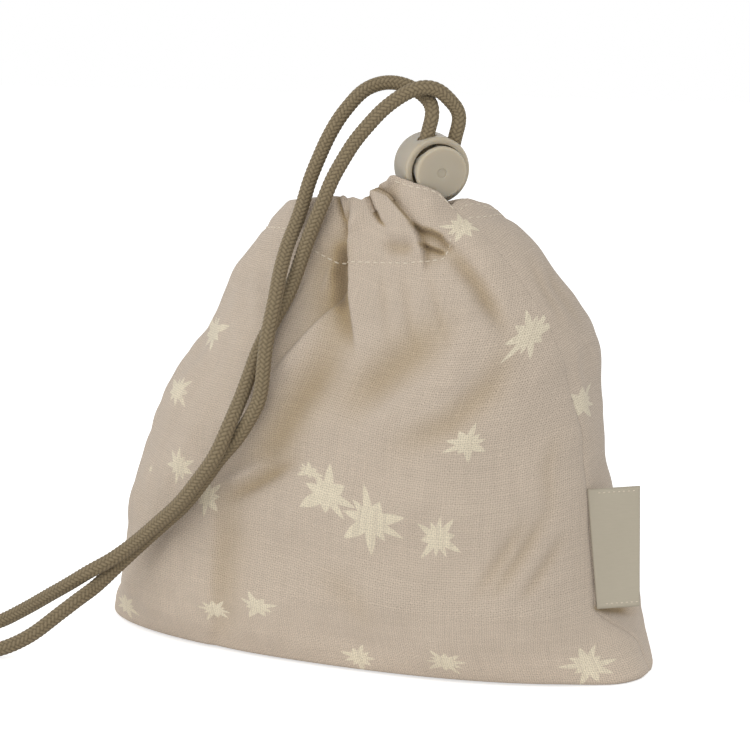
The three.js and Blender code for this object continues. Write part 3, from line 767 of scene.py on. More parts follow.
# Sizes of the cross section at any heights, on a smooth curve through the rows of the shape
def section(height):
    levels, rows = POUCH_SHAPE[:, 0], POUCH_SHAPE[:, 1:]
    slopes = np.empty_like(rows)
    slopes[1:-1] = (rows[2:] - rows[:-2]) / (levels[2:] - levels[:-2])[:, None]
    slopes[0] = (rows[1] - rows[0]) / (levels[1] - levels[0])
    slopes[-1] = (rows[-1] - rows[-2]) / (levels[-1] - levels[-2])
    below = np.clip(np.searchsorted(levels, height, side="right") - 1, 0, len(levels) - 2)
    span = (levels[below + 1] - levels[below])[..., None]
    part = ((height - levels[below])[..., None]) / span
    return curve(part, span, rows[below], rows[below + 1], slopes[below], slopes[below + 1])


def wall(angle, height):
    left, right, depth, fullness, _ = np.moveaxis(section(height), -1, 0)
    turn = np.radians(angle)
    across, out = np.cos(turn), np.sin(turn)
    q = (np.abs(across) ** fullness + np.abs(out) ** fullness) ** (1 / fullness)
    middle, half = (left + right) / 2, (right - left) / 2
    return np.stack([middle + half * across / q, depth * out / q, height], axis=-1)


def wall_normal(angle, height):
    tiny = 0.05
    round_it = wall(angle + tiny, height) - wall(angle - tiny, height)
    up_it = wall(angle, height + tiny) - wall(angle, height - tiny)
    return unit(np.cross(round_it, up_it))


# Distance from a line on the photo, above 0 on the right hand of its way, and the share of the way
def from_line(xy, line):
    line = np.array(line, float)
    lengths = np.linalg.norm(np.diff(line, axis=0), axis=1)
    before = np.concatenate([[0], np.cumsum(lengths)])
    best = np.full(xy.shape[:-1], np.inf)
    signed, share = np.zeros_like(best), np.zeros_like(best)
    for start, end, length, done in zip(line[:-1], line[1:], lengths, before):
        way = (end - start) / length
        offset = xy - start
        along = np.clip(offset @ way, 0, length)
        gap = np.linalg.norm(offset - along[..., None] * way, axis=-1)
        side = np.sign(way[0] * offset[..., 1] - way[1] * offset[..., 0])
        nearer = gap < best
        best = np.where(nearer, gap, best)
        signed = np.where(nearer, side * gap, signed)
        share = np.where(nearer, (done + along) / before[-1], share)
    return signed, share


# From 0 at both ends of a line to 1 along its middle
def fade(share, length):
    return smoothstep(0, length, share) * smoothstep(0, length, 1 - share)


# Height of the photo's folds above the smooth pouch
def fold_height(xy):
    total = np.zeros(xy.shape[:-1])
    for line, height, width in SOFT_FOLDS:
        gap, share = from_line(xy, line)
        total += height * bell(gap, width) * fade(share, FOLD_FADE)
    for fold in STEP_FOLDS:
        total += step_height(xy, fold)
    under_lobe = low_side(from_line(xy, LOBE_EDGE[0])[0], LOBE_EDGE[-1])
    for fold in FLAP_FOLDS:
        total += step_height(xy, fold) * under_lobe
    return total


# Painted shade, from 0 on open cloth to 1 in the bottom of a crease
def crease_shade(xy):
    shade = np.zeros(xy.shape[:-1])
    for line, width, darkness in CREASES:
        gap, share = from_line(xy, line)
        shade = np.maximum(shade, darkness * bell(gap, width) * fade(share, STEP_FADE))
    return shade


# From 0 on the high side of an overlapping fold to 1 on its low side
def low_side(gap, softness):
    return 0.5 + 0.5 * np.tanh(gap / softness)


def step_height(xy, fold):
    line, drop, width, lip, softness = fold
    gap, share = from_line(xy, line)
    low = low_side(gap, softness)
    dip = -drop * np.exp(-np.maximum(gap, 0) / width) * low
    rise = lip * np.exp(np.minimum(gap, 0) / width) * (1 - low)
    return fade(share, STEP_FADE) * (dip + rise)


# Unevenness is the same for both panels, because it comes from the place alone
WAVES = [
    (unit(rng.normal(size=3)), length, height, rng.uniform(0, WAVE_START))
    for length, height in UNEVEN
    for _ in range(WAVES_EACH)
]


def unevenness(points):
    total = np.zeros(points.shape[:-1])
    for way, length, height, start in WAVES:
        total += height * np.sin(points @ way * (2 * math.pi / length) + start)
    return total


# One cloth panel as rows of points from the base seam up the wall, over the top and down inside
class Panel:
    def __init__(self, side, columns, rim, stitch, vent_angle):
        self.side, self.columns = side, columns
        self.share = np.linspace(0, 1, columns)
        self.rim_angle = self.angles(self.share, np.full(columns, MOUTH_HEIGHT))
        turn = side * self.rim_angle
        self.top = np.interp(turn, side * rim[:, 0], rim[:, 1])
        self.stitch_height = np.interp(turn, side * stitch[:, 0], stitch[:, 1])
        edge = side * vent_angle
        self.cased = smoothstep(edge - VENT_CHANGE, edge + VENT_CHANGE, turn)
        self.build()

    # Value of a list along the rim at an angle round the pouch
    def at_angle(self, angle, values):
        return np.interp(self.side * np.asarray(angle), self.side * self.rim_angle, values)

    def angles(self, share, height):
        seam = section(height)[..., 4]
        return seam + (self.side * 180 - seam) * share

    # Heights and distances inside the outer face of every row
    def rows(self):
        fold = HEM_THICKNESS + (FOLD_THICKNESS - HEM_THICKNESS) * self.cased
        rise = fold / 2
        shoulder = self.top - rise
        up = np.linspace(0, 1, PANEL_ROWS)[:, None]
        heights = [up * shoulder]
        below = np.maximum(BASE_ROUND - heights[0], 0)
        insets = [BASE_ROUND - np.sqrt(np.maximum(BASE_ROUND**2 - below**2, 0))]
        turn = np.linspace(0, math.pi, FOLD_ROWS + 1)[1:, None]
        heights.append(shoulder + rise * np.sin(turn))
        insets.append(fold / 2 * (1 - np.cos(turn)))
        down = np.linspace(0, 1, INNER_ROWS + 1)[1:, None]
        hem_end = shoulder - VENT_HEM
        casing_end = self.stitch_height - HEM_BELOW_STITCH
        ends = hem_end + (casing_end - hem_end) * self.cased
        inner = shoulder + (ends - shoulder) * down
        heights.append(inner)
        reach = np.clip((inner - self.stitch_height) / (shoulder - self.stitch_height), 0, 1)
        swell = np.sin(math.pi * reach**TUNNEL_LEAN) ** TUNNEL_FULLNESS
        tunnel = HEM_THICKNESS + (TUNNEL_THICKNESS - HEM_THICKNESS) * swell
        tunnel = np.maximum(tunnel, HEM_THICKNESS + (FOLD_THICKNESS - HEM_THICKNESS) * reach**2)
        insets.append(HEM_THICKNESS + (tunnel - HEM_THICKNESS) * self.cased)
        return np.concatenate(heights), np.concatenate(insets)

    def build(self):
        heights, insets = self.rows()
        share = np.broadcast_to(self.share, heights.shape)
        angle = self.angles(share, heights)
        smooth = wall(angle, heights)
        normal = wall_normal(angle, heights)
        self.arcs(smooth, angle)
        lift = self.relief(smooth, normal, heights)
        points = smooth + normal * (lift - insets)[..., None]
        points[..., 2] = np.maximum(points[..., 2], 0)
        base = self.base_rows(points[0])
        self.points = np.concatenate([base, points])
        self.wall_heights = heights[:PANEL_ROWS]

    # Length along the cloth, across from the middle and up from the base edge
    def arcs(self, smooth, angle):
        across = np.linalg.norm(np.diff(smooth, axis=1), axis=-1)
        u = np.concatenate([np.zeros((len(smooth), 1)), np.cumsum(across, axis=1)], axis=1)
        self.from_seam = np.minimum(u, u[:, -1:] - u)
        middle = [np.interp(MIDDLE_ANGLE, self.side * turn, row) for turn, row in zip(angle, u)]
        u -= np.array(middle)[:, None]
        u[PANEL_ROWS:] = u[PANEL_ROWS - 1]
        along = np.linalg.norm(np.diff(smooth, axis=0), axis=-1)
        v = np.concatenate([np.zeros((1, self.columns)), np.cumsum(along, axis=0)])
        down = np.linspace(-BASE_CLOTH, -BASE_CLOTH / BASE_ROWS, BASE_ROWS)[:, None]
        u = np.concatenate([np.broadcast_to(u[0], (BASE_ROWS, self.columns)), u])
        v = np.concatenate([np.broadcast_to(down, (BASE_ROWS, self.columns)), v])
        self.cloth = np.stack([u, v, np.zeros_like(u)], axis=-1)

    # Folds, grooves and unevenness, as a height above the smooth pouch, and the painted shade of the fold
    # valleys and creases kept with the cloth
    def relief(self, smooth, normal, heights):
        facing = smoothstep(*FACING, normal @ BACK)
        seen = photo_xy(smooth)
        lift = fold_height(seen) * facing
        # Painted shade from the depth of each fold valley and from the creases, kept as the cloth's third
        # part
        hollow_shade = np.clip(-lift / HOLLOW_SHADE_DEPTH, 0, 1)
        self.cloth[BASE_ROWS:, :, 2] = hollow_shade + crease_shade(seen) * facing * (2 - hollow_shade)
        calm = smoothstep(0, CALM_BASE, heights) * (1 - CALM_SHARE * smoothstep(*CALM_TOP, heights))
        from_label = np.linalg.norm(smooth - LABEL_PLACE, axis=-1)
        lift += unevenness(smooth) * calm * (1 - bell(from_label, LABEL_CALM))
        lift += EAR_OUT * bell(np.linalg.norm(smooth - EAR_PLACE, axis=-1), EAR_REACH)
        seam = SEAM_GROOVE * (1 - smoothstep(*SEAM_SMOOTH, heights))
        lift -= seam * bell(self.from_seam, SEAM_GROOVE_WIDTH)
        lift -= STITCH_GROOVE * bell(heights - self.stitch_height, STITCH_GROOVE_WIDTH)
        return lift + self.pleats(heights) if self.side > 0 else lift

    # Pleats of the back, which the photo doesn't show
    def pleats(self, heights):
        share = self.share
        window = smoothstep(*PLEAT_SIDE, share) * smoothstep(0, PLEAT_END, 1 - share)
        sway = PLEAT_SWAY * np.sin(PLEAT_SWAYS * share)
        waves = np.cos(2 * math.pi * BACK_PLEATS * share + sway + heights / PLEAT_LEAN)
        waves = waves * (1 - PLEAT_VARIES + PLEAT_VARIES * np.sin(PLEAT_VARIES_OVER * share))
        return BACK_PLEAT_DEPTH * smoothstep(PLEAT_START, PLEAT_FULL, heights) * window * waves

    # Flat base from its seam out to the foot of the wall
    def base_rows(self, foot):
        seam = np.stack([
            BASE_SEAM_HALF * (1 - 2 * self.share),
            np.full(self.columns, BASE_SEAM_Y),
            np.full(self.columns, BASE_LIFT),
        ], axis=-1)
        part = np.linspace(0, 1, BASE_ROWS + 1)[:-1, None, None]
        rows = seam + (foot - seam) * part
        rows[..., 2] = BASE_LIFT * (1 - part[..., 0] ** BASE_CURVE)
        return rows

    # Point and direction on the outer face at a share of the width and a height
    def on_cloth(self, share, height):
        column = np.clip(share, 0, 1) * (self.columns - 1)
        first = np.minimum(column.astype(int), self.columns - 2)
        rest = (column - first)[:, None]
        top = self.wall_heights[-1]
        crest = top[first] * (1 - rest[:, 0]) + top[first + 1] * rest[:, 0]
        row = np.clip(height / crest, 0, 1) * (PANEL_ROWS - 1)
        low = np.minimum(row.astype(int), PANEL_ROWS - 2)
        more = (row - low)[:, None]
        grid = self.points[BASE_ROWS:]
        corner = [[grid[low + i, first + j] for j in (0, 1)] for i in (0, 1)]
        under = corner[0][0] * (1 - rest) + corner[0][1] * rest
        above = corner[1][0] * (1 - rest) + corner[1][1] * rest
        across = (corner[0][1] - corner[0][0]) * (-self.side)
        normal = unit(np.cross(above - under, across))
        return under * (1 - more) + above * more, normal

    def piece(self, name, material):
        rows, columns = self.points.shape[:2]
        faces = grid_faces(rows, columns, flip=self.side < 0)
        made = make_piece(name, self.points, faces, material, ("cloth", self.cloth.reshape(-1, 3)))
        thick = made.modifiers.new("thickness", "SOLIDIFY")
        thick.thickness = CLOTH_THICKNESS * MM
        thick.offset = -1
        return settle(made)


# Place on the cloth of a star seen on the photo
def star_places(panels):
    found = {panel: [] for panel in panels}
    for across, down, size, widen in PHOTO_STARS:
        options = []
        for panel in panels:
            grid = panel.points[BASE_ROWS:BASE_ROWS + PANEL_ROWS].reshape(-1, 3)
            normal = np.cross(*np.gradient(panel.points, axis=(0, 1)))[BASE_ROWS:BASE_ROWS + PANEL_ROWS]
            seen = (normal.reshape(-1, 3) @ BACK) * (-panel.side) > 0
            gap = np.linalg.norm(photo_xy(grid) - (across, down), axis=1) + np.where(seen, 0, 1e6)
            best = int(np.argmin(gap))
            options.append((gap[best], panel, best))
        _, panel, best = min(options, key=lambda option: option[0])
        found[panel].append((panel.cloth[BASE_ROWS:].reshape(-1, 3)[best] * (1, 1, 0), size, widen))
    return found


def finished_stars(places):
    return [(tuple(map(float, centre)), size, widen, float(rng.uniform()), float(rng.integers(*STAR_POINTS)))
            for centre, size, widen in places]


# Stitches

# Rows of short stitches along lines on the cloth, as one piece
def stitch_piece(name, lines, length, radius, body, slot):
    points, faces, count = [], [], 0
    bow = np.sin(np.linspace(0, math.pi, STITCH_RINGS))
    thin = radius * np.maximum(bow, STITCH_TIP) ** STITCH_TAPER
    for path, normals in lines:
        along = lengths_along(path)
        for start in np.arange(STITCH_SPACE, along[-1] - length, length + STITCH_SPACE):
            at = start + length * np.linspace(0, 1, STITCH_RINGS) * rng.uniform(*STITCH_VARIES)
            out = unit(at_lengths(at, along, normals))
            middle = at_lengths(at, along, path) + out * (radius * (bow - STITCH_SINK))[:, None]
            side = unit(np.cross(unit(np.gradient(middle, axis=0)), out))
            round_it = ring(circle(STITCH_SIDES), side, out)
            points.append((middle[:, None] + thin[:, None, None] * round_it).reshape(-1, 3))
            faces.append(grid_faces(STITCH_RINGS, STITCH_SIDES, around=True) + count)
            count += STITCH_RINGS * STITCH_SIDES
    piece = make_piece(name, np.concatenate(points), np.concatenate(faces), STITCH_MATERIAL, closed=True)
    return place(piece, body, slot)


def casing_line(panel):
    return panel.on_cloth(panel.share[2:-2], panel.stitch_height[2:-2])


def vent_line(panel, last_angle):
    inside = panel.side * panel.rim_angle < panel.side * last_angle
    share = panel.share[inside][1:]
    return panel.on_cloth(share, panel.top[inside][1:] - VENT_STITCH_BELOW)


# Cords

# Smooth curve through route points, in even steps
def smooth_route(points, step):
    points = np.asarray(points, float)
    ends = np.concatenate([[2 * points[0] - points[1]], points, [2 * points[-1] - points[-2]]])
    knots = np.concatenate([[0], np.cumsum(np.linalg.norm(np.diff(ends, axis=0), axis=1) ** 0.5)])
    dense = []
    for i in range(1, len(ends) - 2):
        p, t = ends[i - 1:i + 3], knots[i - 1:i + 3]
        span = t[2] - t[1]
        chord = (p[2] - p[1]) / span
        first = (p[1] - p[0]) / (t[1] - t[0]) - (p[2] - p[0]) / (t[2] - t[0]) + chord
        last = chord - (p[3] - p[1]) / (t[3] - t[1]) + (p[3] - p[2]) / (t[3] - t[2])
        part = np.linspace(0, 1, ROUTE_STEPS, endpoint=False)[:, None]
        dense.append(curve(part, span, p[1], p[2], first, last))
    dense = np.concatenate([*dense, ends[-2:-1]])
    along = lengths_along(dense)
    at = np.linspace(0, along[-1], max(int(along[-1] / step), 2) + 1)
    return at_lengths(at, along, dense)


# Directions across a path that turn as little as they can
def frames_along(path):
    way = unit(np.gradient(path, axis=0))
    side = np.cross(way[0], ACROSS_HINT)
    sides = []
    for direction in way:
        side = side - (side @ direction) * direction
        side = side / np.linalg.norm(side)
        sides.append(side)
    sides = np.array(sides)
    return sides, np.cross(way, sides)


# Height of a braid of two families of strands, from 0 in the gaps to 1 on top
def braid_height(turn, along):
    around = BRAID_STRANDS * turn / (2 * math.pi)
    first, second = around + along / BRAID_PITCH, around - along / BRAID_PITCH
    column = np.mod(np.floor(first) + np.floor(second), 4)
    strand = np.where(column < 2, first, second) % 1
    forward = np.mod(np.floor(first) + second, 4) / 2
    backward = np.mod(first + np.floor(second), 4) / 2 - 1
    float_part = np.where(column < 2, forward, backward)
    round_top = np.sqrt(np.maximum(1 - (2 * strand - 1) ** 2, 0))
    dive = 1 - BRAID_DIVE * np.abs(2 * float_part - 1) ** BRAID_DIVE_POWER
    return round_top * dive


# Braided tube along a path, closed at both ends
def braided_tube(path):
    turn = circle(CORD_SIDES)
    relief = braid_height(turn[None, :], lengths_along(path)[:, None])
    radius = CORD_DIAMETER / 2 - BRAID_RELIEF * (1 - relief)
    points = path[:, None] + radius[..., None] * ring(turn, *frames_along(path))
    return points.reshape(-1, 3), tube_faces(len(path), CORD_SIDES), relief.ravel()


def cord_piece(name, paths, material):
    points, faces, reliefs, count = [], [], [], 0
    for path in paths:
        tube_points, tube_faces, relief = braided_tube(path)
        points.append(tube_points)
        faces += [[index + count for index in face] for face in tube_faces]
        reliefs.append(relief)
        count += len(tube_points)
    return make_piece(name, np.concatenate(points), faces, material,
                      ("relief", np.concatenate(reliefs)), closed=True)


# Axes of the cord lock from its two joints: across, inward and along the cord
def lock_axes():
    axes = {joint["name"]: np.array(joint["axis"]) for joint in frame["joints"]}
    inward, cordwise = unit(axes["plunger_press"]), unit(axes["toggle_slide"])
    return unit(np.cross(inward, cordwise)), inward, cordwise


LOCK_X, LOCK_Y, LOCK_Z = lock_axes()


def in_lock(across, inward, along):
    return LOCK_CENTRE + across * LOCK_X + inward * LOCK_Y + along * LOCK_Z


def cord_run(side, along):
    return in_lock(side * CORD_SPACING / 2, 0, along)


# A tail's path, eased over a short length once it is clear of the lock
def tail_path(side, route):
    clear = DRUM_RADIUS + CORD_PAST_LOCK
    straight = clear + CORD_STRAIGHT
    start = [cord_run(side, along) for along in (CORD_INSIDE_LOCK, clear, straight)]
    in_knot = KNOT_START + (-KNOT_ENTRY, side * CORD_END_APART / 2, 0)
    path = smooth_route(np.concatenate([start, route, [in_knot]]), CORD_STEP)
    reach = int(CORD_EASE / CORD_STEP)
    weights = np.hanning(2 * reach + 1)
    weights /= weights.sum()
    padded = np.pad(path, ((reach, reach), (0, 0)), mode="edge")
    eased = np.stack([np.convolve(padded[:, k], weights, "valid") for k in range(3)], axis=-1)
    along = np.arange(len(path)) * CORD_STEP
    free = straight - CORD_INSIDE_LOCK
    share = smoothstep(free - CORD_EASE / 2, free + CORD_EASE / 2, along)
    share = (share * smoothstep(0, CORD_EASE, along[-1] - along))[:, None]
    return path * (1 - share) + eased * share


def free_cord(side, path):
    leaves = path[np.linalg.norm(path - cord_run(side, DRUM_RADIUS), axis=1).argmin()]


# How far the folds of the cloth come in beside an angle
def hollow_beside(panel, angle, height, way):
    near = panel.at_angle(angle + np.linspace(-LOOP_BESIDE, LOOP_BESIDE, LOOP_NEAR), panel.share)
    heights = np.full(LOOP_NEAR, height)
    cloth, _ = panel.on_cloth(near, heights)
    smooth = wall(panel.angles(near, height), heights)
    return min(float(((cloth - smooth) @ way).min()), 0.0)


# The cord round the mouth from one hole of the lock to the other, behind the cloth's hollows
def loop_path(front, back):
    first, last = FRONT_VENT_ANGLE + LOOP_START, BACK_VENT_ANGLE - LOOP_END - 360
    middle = []
    for angle in np.linspace(first, last, LOOP_POINTS):
        panel, own = (front, angle) if angle > -180 else (back, angle + 360)
        line = panel.at_angle(own, panel.stitch_height)
        crest = panel.at_angle(own, panel.top)
        height = np.array(line + 0.5 * (crest - line))
        way = wall_normal(np.array(own), height)
        inset = hollow_beside(panel, own, height, way) - LOOP_INSET
        middle.append(wall(np.array(own), height) + inset * way)
    runs = (CORD_INSIDE_LOCK, 0.0, -DRUM_RADIUS, -DRUM_RADIUS - LOOP_STRAIGHT)
    start = [cord_run(-1, along) for along in runs]
    end = [cord_run(1, along) for along in reversed(runs)]
    return smooth_route(np.concatenate([start, middle, end]), CORD_STEP)


# The knot's coil, and the two cord ends past it
def knot_paths():
    turn = np.linspace(0, KNOT_TURNS * 2 * math.pi, KNOT_STEPS)
    coil = KNOT_START + np.stack([
        -CORD_DIAMETER / 2 - KNOT_PITCH * turn / (2 * math.pi),
        KNOT_COIL * np.cos(turn),
        KNOT_COIL * np.sin(turn),
    ], axis=-1)
    paths = [smooth_route(coil, CORD_STEP)]
    far = CORD_DIAMETER + KNOT_PITCH * KNOT_TURNS
    low_start, low_leave, low_tip = CORD_END_DROPS
    for side in (-1, 1):
        start = KNOT_START + (-far / 2, side * CORD_END_APART / 2, low_start)
        leave = KNOT_START + (-far, side * CORD_END_APART, low_leave)
        tip = KNOT_START + (-far - CORD_END, side * (CORD_END_APART + CORD_END_SPREAD), low_tip)
        paths.append(smooth_route([start, leave, (leave + tip) / 2, tip], CORD_STEP))
    return paths


def build_cords(front, back):
    material = cord_material()
    knot = place(cord_piece("tied_knot", knot_paths(), material), "root", "cord", "drawstring_knot")
    for name, side, route in (("left", -1, TAIL_LEFT_ROUTE), ("right", 1, TAIL_RIGHT_ROUTE)):
        path = tail_path(side, route)
        tail = cord_piece(f"cord_tail_{name}", [path], material)
        place(tail, "root", "cord", f"drawstring_tail_{name}")
        free_cord(side, path)
    loop = cord_piece("cord_in_casing", [loop_path(front, back)], material)
    place(loop, "root", "cord", "drawstring_loop")


# Cord lock

def arc(radius, front, size, start, end):
    turn = np.radians(np.linspace(start, end, ROUND_STEPS + 1))
    return [(radius + size * math.cos(t), front + size * math.sin(t)) for t in turn]


# Solid turned about the plunger's axis from pairs of radius and distance to the front
def turned(name, profile, material):
    round_it = ring(circle(LATHE_SEGMENTS), LOCK_X[None], LOCK_Z[None])[0]
    rings = [LOCK_CENTRE - front * LOCK_Y + radius * round_it for radius, front in profile]
    faces = tube_faces(len(rings), LATHE_SEGMENTS)
    return make_piece(name, np.concatenate(rings), faces, material, closed=True)


# Round-ended slot along the cord, longer at the front by the travel
def cord_cutter(side, travel, material):
    half = np.linspace(0, math.pi, HOLE_STEPS)
    turn = np.concatenate([half + math.pi, half])
    shift = np.repeat([-travel, 0], HOLE_STEPS)
    across = side * CORD_SPACING / 2 + HOLE_RADIUS * np.cos(turn)
    inward = HOLE_RADIUS * np.sin(turn) + shift
    rows = [in_lock(across[:, None], inward[:, None], along) for along in (-HOLE_REACH, HOLE_REACH)]
    return make_piece("cutter", np.array(rows), tube_faces(2, len(turn)), material, closed=True)


def build_lock():
    material = plastic_material("lock_plastic")
    drum = turned("lock_drum", [
        (AXIS_RADIUS, -DRUM_BACK),
        *arc(DRUM_RADIUS - BACK_ROUND, BACK_ROUND - DRUM_BACK, BACK_ROUND, -90, 0),
        *arc(DRUM_RADIUS - RIM_ROUND, DRUM_FRONT - RIM_ROUND, RIM_ROUND, 0, 90),
        *arc(BORE_RADIUS + BORE_ROUND, DRUM_FRONT - BORE_ROUND, BORE_ROUND, 90, 180),
        (BORE_RADIUS, -BORE_END), (POCKET_RADIUS, -BORE_END),
        (POCKET_RADIUS, -POCKET_END), (AXIS_RADIUS, -POCKET_END),
    ], material)
    cut(drum, [cord_cutter(side, 0, material) for side in (-1, 1)])
    stub = SPRING_RADIUS - SPRING_WIRE / 2 - SPRING_GAP
    plunger = turned("lock_button", [
        (AXIS_RADIUS, -PLUNGER_TAIL - SPRING_WIRE), (stub, -PLUNGER_TAIL - SPRING_WIRE),
        (stub, -PLUNGER_TAIL),
        (PLUNGER_RADIUS, -PLUNGER_TAIL), (PLUNGER_RADIUS, NECK_START), (NECK_RADIUS, NECK_START),
        (NECK_RADIUS, PLUNGER_HEAD - HEAD_THICKNESS), (PLUNGER_RADIUS, PLUNGER_HEAD - HEAD_THICKNESS),
        *arc(PLUNGER_RADIUS - HEAD_ROUND, PLUNGER_HEAD - HEAD_ROUND, HEAD_ROUND, 0, 90),
        *arc(GATE_RADIUS + GATE_ROUND, PLUNGER_HEAD - GATE_ROUND, GATE_ROUND, 90, 180),
        (GATE_RADIUS, PLUNGER_HEAD - GATE_DEPTH), (AXIS_RADIUS, PLUNGER_HEAD - GATE_DEPTH),
    ], material)
    cut(plunger, [cord_cutter(side, PLUNGER_TRAVEL, material) for side in (-1, 1)])
    for piece in (drum, plunger):
        piece.data.set_sharp_from_angle(angle=math.radians(SHARP_ANGLE))
    place(drum, "cord_lock", "plastic", "cord_lock_body")
    place(plunger, "plunger", "plastic", "cord_lock_plunger")
    build_spring()


def build_spring():
    start, end = PLUNGER_TAIL + SPRING_GAP, POCKET_END - SPRING_GAP
    turn = np.linspace(0, 2 * math.pi * SPRING_TURNS, SPRING_STEPS * SPRING_TURNS)
    path = np.array([in_lock(SPRING_RADIUS * math.cos(t), start + (end - start) * t / turn[-1],
                             SPRING_RADIUS * math.sin(t)) for t in turn])
    points = path[:, None] + SPRING_WIRE / 2 * ring(circle(SPRING_SIDES), *frames_along(path))
    material = plain_material("spring_wire", STEEL_COLOUR, 0.3, 1.0)
    spring = make_piece("lock_spring", points, tube_faces(len(path), SPRING_SIDES), material, closed=True)
    place(spring, "cord_lock", "spring_steel", "cord_lock_spring")
    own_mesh(spring)


# Label

# Axes and foot of the label from its joint: outward, across and up
def label_axes():
    joint = next(joint for joint in frame["joints"] if joint["name"] == "label_flap")
    up = unit(np.array(joint["axis"]))
    turn = math.radians(LABEL_TURN)
    across = unit(np.cross(up, (math.cos(turn), math.sin(turn), 0)))
    return np.array(joint["pos_m"]) / MM, unit(np.cross(across, up)), across, up


# Outline of the folded ribbon seen from its end, out along one layer, round the fold and back
def ribbon_line(offset):
    half = (LABEL_LAYER + LABEL_SPACE) / 2 + offset
    reach = LABEL_WIDTH - LABEL_LAYER - LABEL_SPACE / 2
    out = np.linspace(-LABEL_REACH, reach, LABEL_COLUMNS)
    turn = np.linspace(-math.pi / 2, math.pi / 2, LABEL_FOLD_STEPS)[1:-1]
    front = np.stack([out, np.full_like(out, -half)], axis=-1)
    fold = np.stack([reach + half * np.cos(turn), half * np.sin(turn)], axis=-1)
    return np.concatenate([front, fold, front[::-1] * (1, -1)])


def label_point(out, across, along, axes):
    foot, outward, sideways, up = axes
    part = along / LABEL_LENGTH
    out = out * (1 - LABEL_TAPER * (1 - part))
    bow = LABEL_BULGE * np.sin(math.pi * np.clip(out / LABEL_WIDTH, 0, 1))
    bow = bow * np.cos(2 * math.pi * (part - LABEL_BULGE_PLACE))
    return foot + out[..., None] * outward + (across + bow)[..., None] * sideways + along[..., None] * up


def build_label():
    axes = label_axes()
    along = np.linspace(0, LABEL_LENGTH, LABEL_ROWS)
    outer, inner = ribbon_line(LABEL_LAYER / 2), ribbon_line(-LABEL_LAYER / 2)
    outline = np.concatenate([outer, inner[::-1]])
    rows = [label_point(outline[:, 0], outline[:, 1], np.full(len(outline), z), axes) for z in along]
    count = len(outline)
    half = count // 2
    faces = grid_faces(LABEL_ROWS, count, around=True).tolist()
    for row in (0, (LABEL_ROWS - 1) * count):
        faces += [[row + i, row + i + 1, row + count - 2 - i, row + count - 1 - i] for i in range(half - 1)]
    run = lengths_along(outer)
    run = np.concatenate([run, run[::-1]])
    cloth = np.stack(np.broadcast_arrays(run[None, :], along[:, None], 0.0), axis=-1).reshape(-1, 3)
    label = make_piece("seam_label", np.concatenate(rows), faces, label_material(), ("cloth", cloth),
                       closed=True)
    place(label, "label", "label", "side_label")
    stitches = label_stitches(axes)


def label_stitches(axes):
    _, _, sideways, _ = axes
    lines = []
    out = np.linspace(LABEL_STITCH_START, LABEL_WIDTH - LABEL_STITCH_END, LABEL_STITCH_POINTS)
    surface = LABEL_LAYER + LABEL_SPACE / 2
    for height in (LABEL_STITCH_INSET, LABEL_LENGTH - LABEL_STITCH_INSET):
        for side in (-1, 1):
            path = label_point(out, np.full_like(out, side * surface), np.full_like(out, height), axes)
            lines.append((path, np.broadcast_to(side * sideways, path.shape)))
    return stitch_piece("label_stitching", lines, LABEL_STITCH_LENGTH, LABEL_STITCH_RADIUS, "label", "label")


# Pouch

def build_pouch():
    front = Panel(-1, FRONT_COLUMNS, RIM_FRONT, STITCH_FRONT, FRONT_VENT_ANGLE)
    back = Panel(1, BACK_COLUMNS, RIM_BACK, STITCH_BACK, BACK_VENT_ANGLE)
    group = star_group()
    places = star_places([front, back])
    for share, height, size in BACK_STARS:
        row = min(int(height / BACK_STAR_TOP * (PANEL_ROWS - 1)), PANEL_ROWS - 1) + BASE_ROWS
        places[back].append((back.cloth[row, int(share * (BACK_COLUMNS - 1))], size, 1))
    for panel, name, node, vent_end in (
        (front, "pouch_front", "front_panel", FRONT_VENT_STITCH_END),
        (back, "pouch_back", "back_panel", BACK_VENT_STITCH_END),
    ):
        material = cloth_material(f"{name}_cloth", finished_stars(places[panel]), group)
        piece = place(panel.piece(name, material), "root", "cloth", node)
        lines = [casing_line(panel), vent_line(panel, vent_end)]
        stitches = stitch_piece(f"{name}_stitching", lines, STITCH_LENGTH, STITCH_RADIUS, "root", "cloth")
    return front, back


# Stage

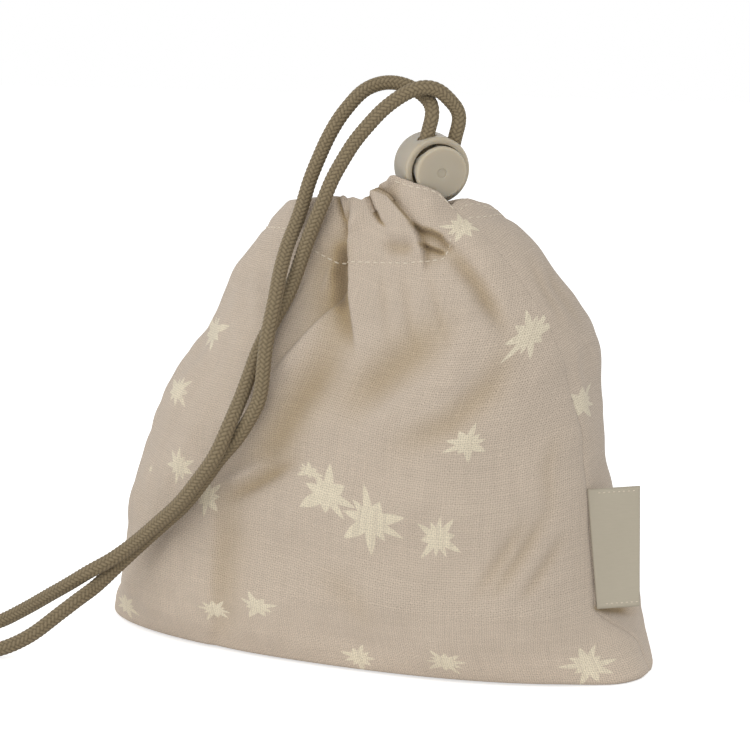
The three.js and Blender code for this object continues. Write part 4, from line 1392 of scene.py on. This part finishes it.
def build_stage():
    scene = bpy.context.scene
    scene.view_settings.view_transform = "Standard"
    camera = add_object("camera", bpy.data.cameras.new("camera"))
    scene.camera = camera
    camera.data.sensor_width = SENSOR_WIDTH
    camera.data.lens = FOCAL_PIXELS / PHOTO_SIZE * SENSOR_WIDTH
    camera.data.clip_start, camera.data.clip_end = 0.01, 20
    stand(camera, RIGHT, UP, BACK, EYE * MM)
    build_floor()
    area_light("key", KEY_PLACE, KEY_SIZE, KEY_POWER)
    area_light("fill", FILL_PLACE, FILL_SIZE, FILL_POWER)
    build_world()


# Stand a camera or light at a place in metres, looking away from its back
def stand(thing, right, up, back, where):
    matrix = np.eye(4)
    matrix[:3, :3] = np.stack([right, up, back], axis=-1)
    matrix[:3, 3] = where
    thing.matrix_world = Matrix(matrix.tolist())


def area_light(name, where, size, power):
    data = bpy.data.lights.new(name, "AREA")
    data.shape = "DISK"
    data.size = size
    data.energy = power
    light = add_object(name, data)
    back = unit(np.array(where) - CAMERA_TARGET * MM)
    right = unit(np.cross((0, 0, 1), back))
    stand(light, right, np.cross(back, right), back, where)


def build_floor():
    paint = Paint("floor_white")
    seen = paint.node("ShaderNodeLightPath").outputs["Is Camera Ray"]
    paint.set(Base_Color=(FLOOR_COLOUR, FLOOR_COLOUR, FLOOR_COLOUR, 1), Roughness=1.0, Specular_IOR_Level=0)
    paint.set(Emission_Color=(1, 1, 1, 1), Emission_Strength=paint.math("MULTIPLY", seen, FLOOR_GLOW))
    half = FLOOR_SIZE / 2 / MM
    corners = np.array([[-half, -half, 0], [half, -half, 0], [half, half, 0], [-half, half, 0]])
    make_piece("floor", corners, [[0, 1, 2, 3]], paint.material)


def build_world():
    world = bpy.data.worlds.new("white")
    bpy.context.scene.world = world
    world.use_nodes = True
    nodes = Nodes(world.node_tree)
    path = nodes.node("ShaderNodeLightPath").outputs
    seen = path["Is Camera Ray"]
    for name in ("Is Glossy Ray", "Is Transmission Ray"):
        seen = nodes.math("MAXIMUM", seen, path[name])
    strength = nodes.node("ShaderNodeMapRange", {"Value": seen, "To Min": WORLD_LIGHT})
    background = nodes.tree.nodes["Background"].inputs
    nodes.feed(background["Color"], (1, 1, 1, 1))
    nodes.feed(background["Strength"], strength.outputs["Result"])


STITCH_MATERIAL = plain_material("stitch_thread", STITCH_COLOUR, 0.7)

build_stage()
front_panel, back_panel = build_pouch()
build_cords(front_panel, back_panel)
build_lock()
build_label()
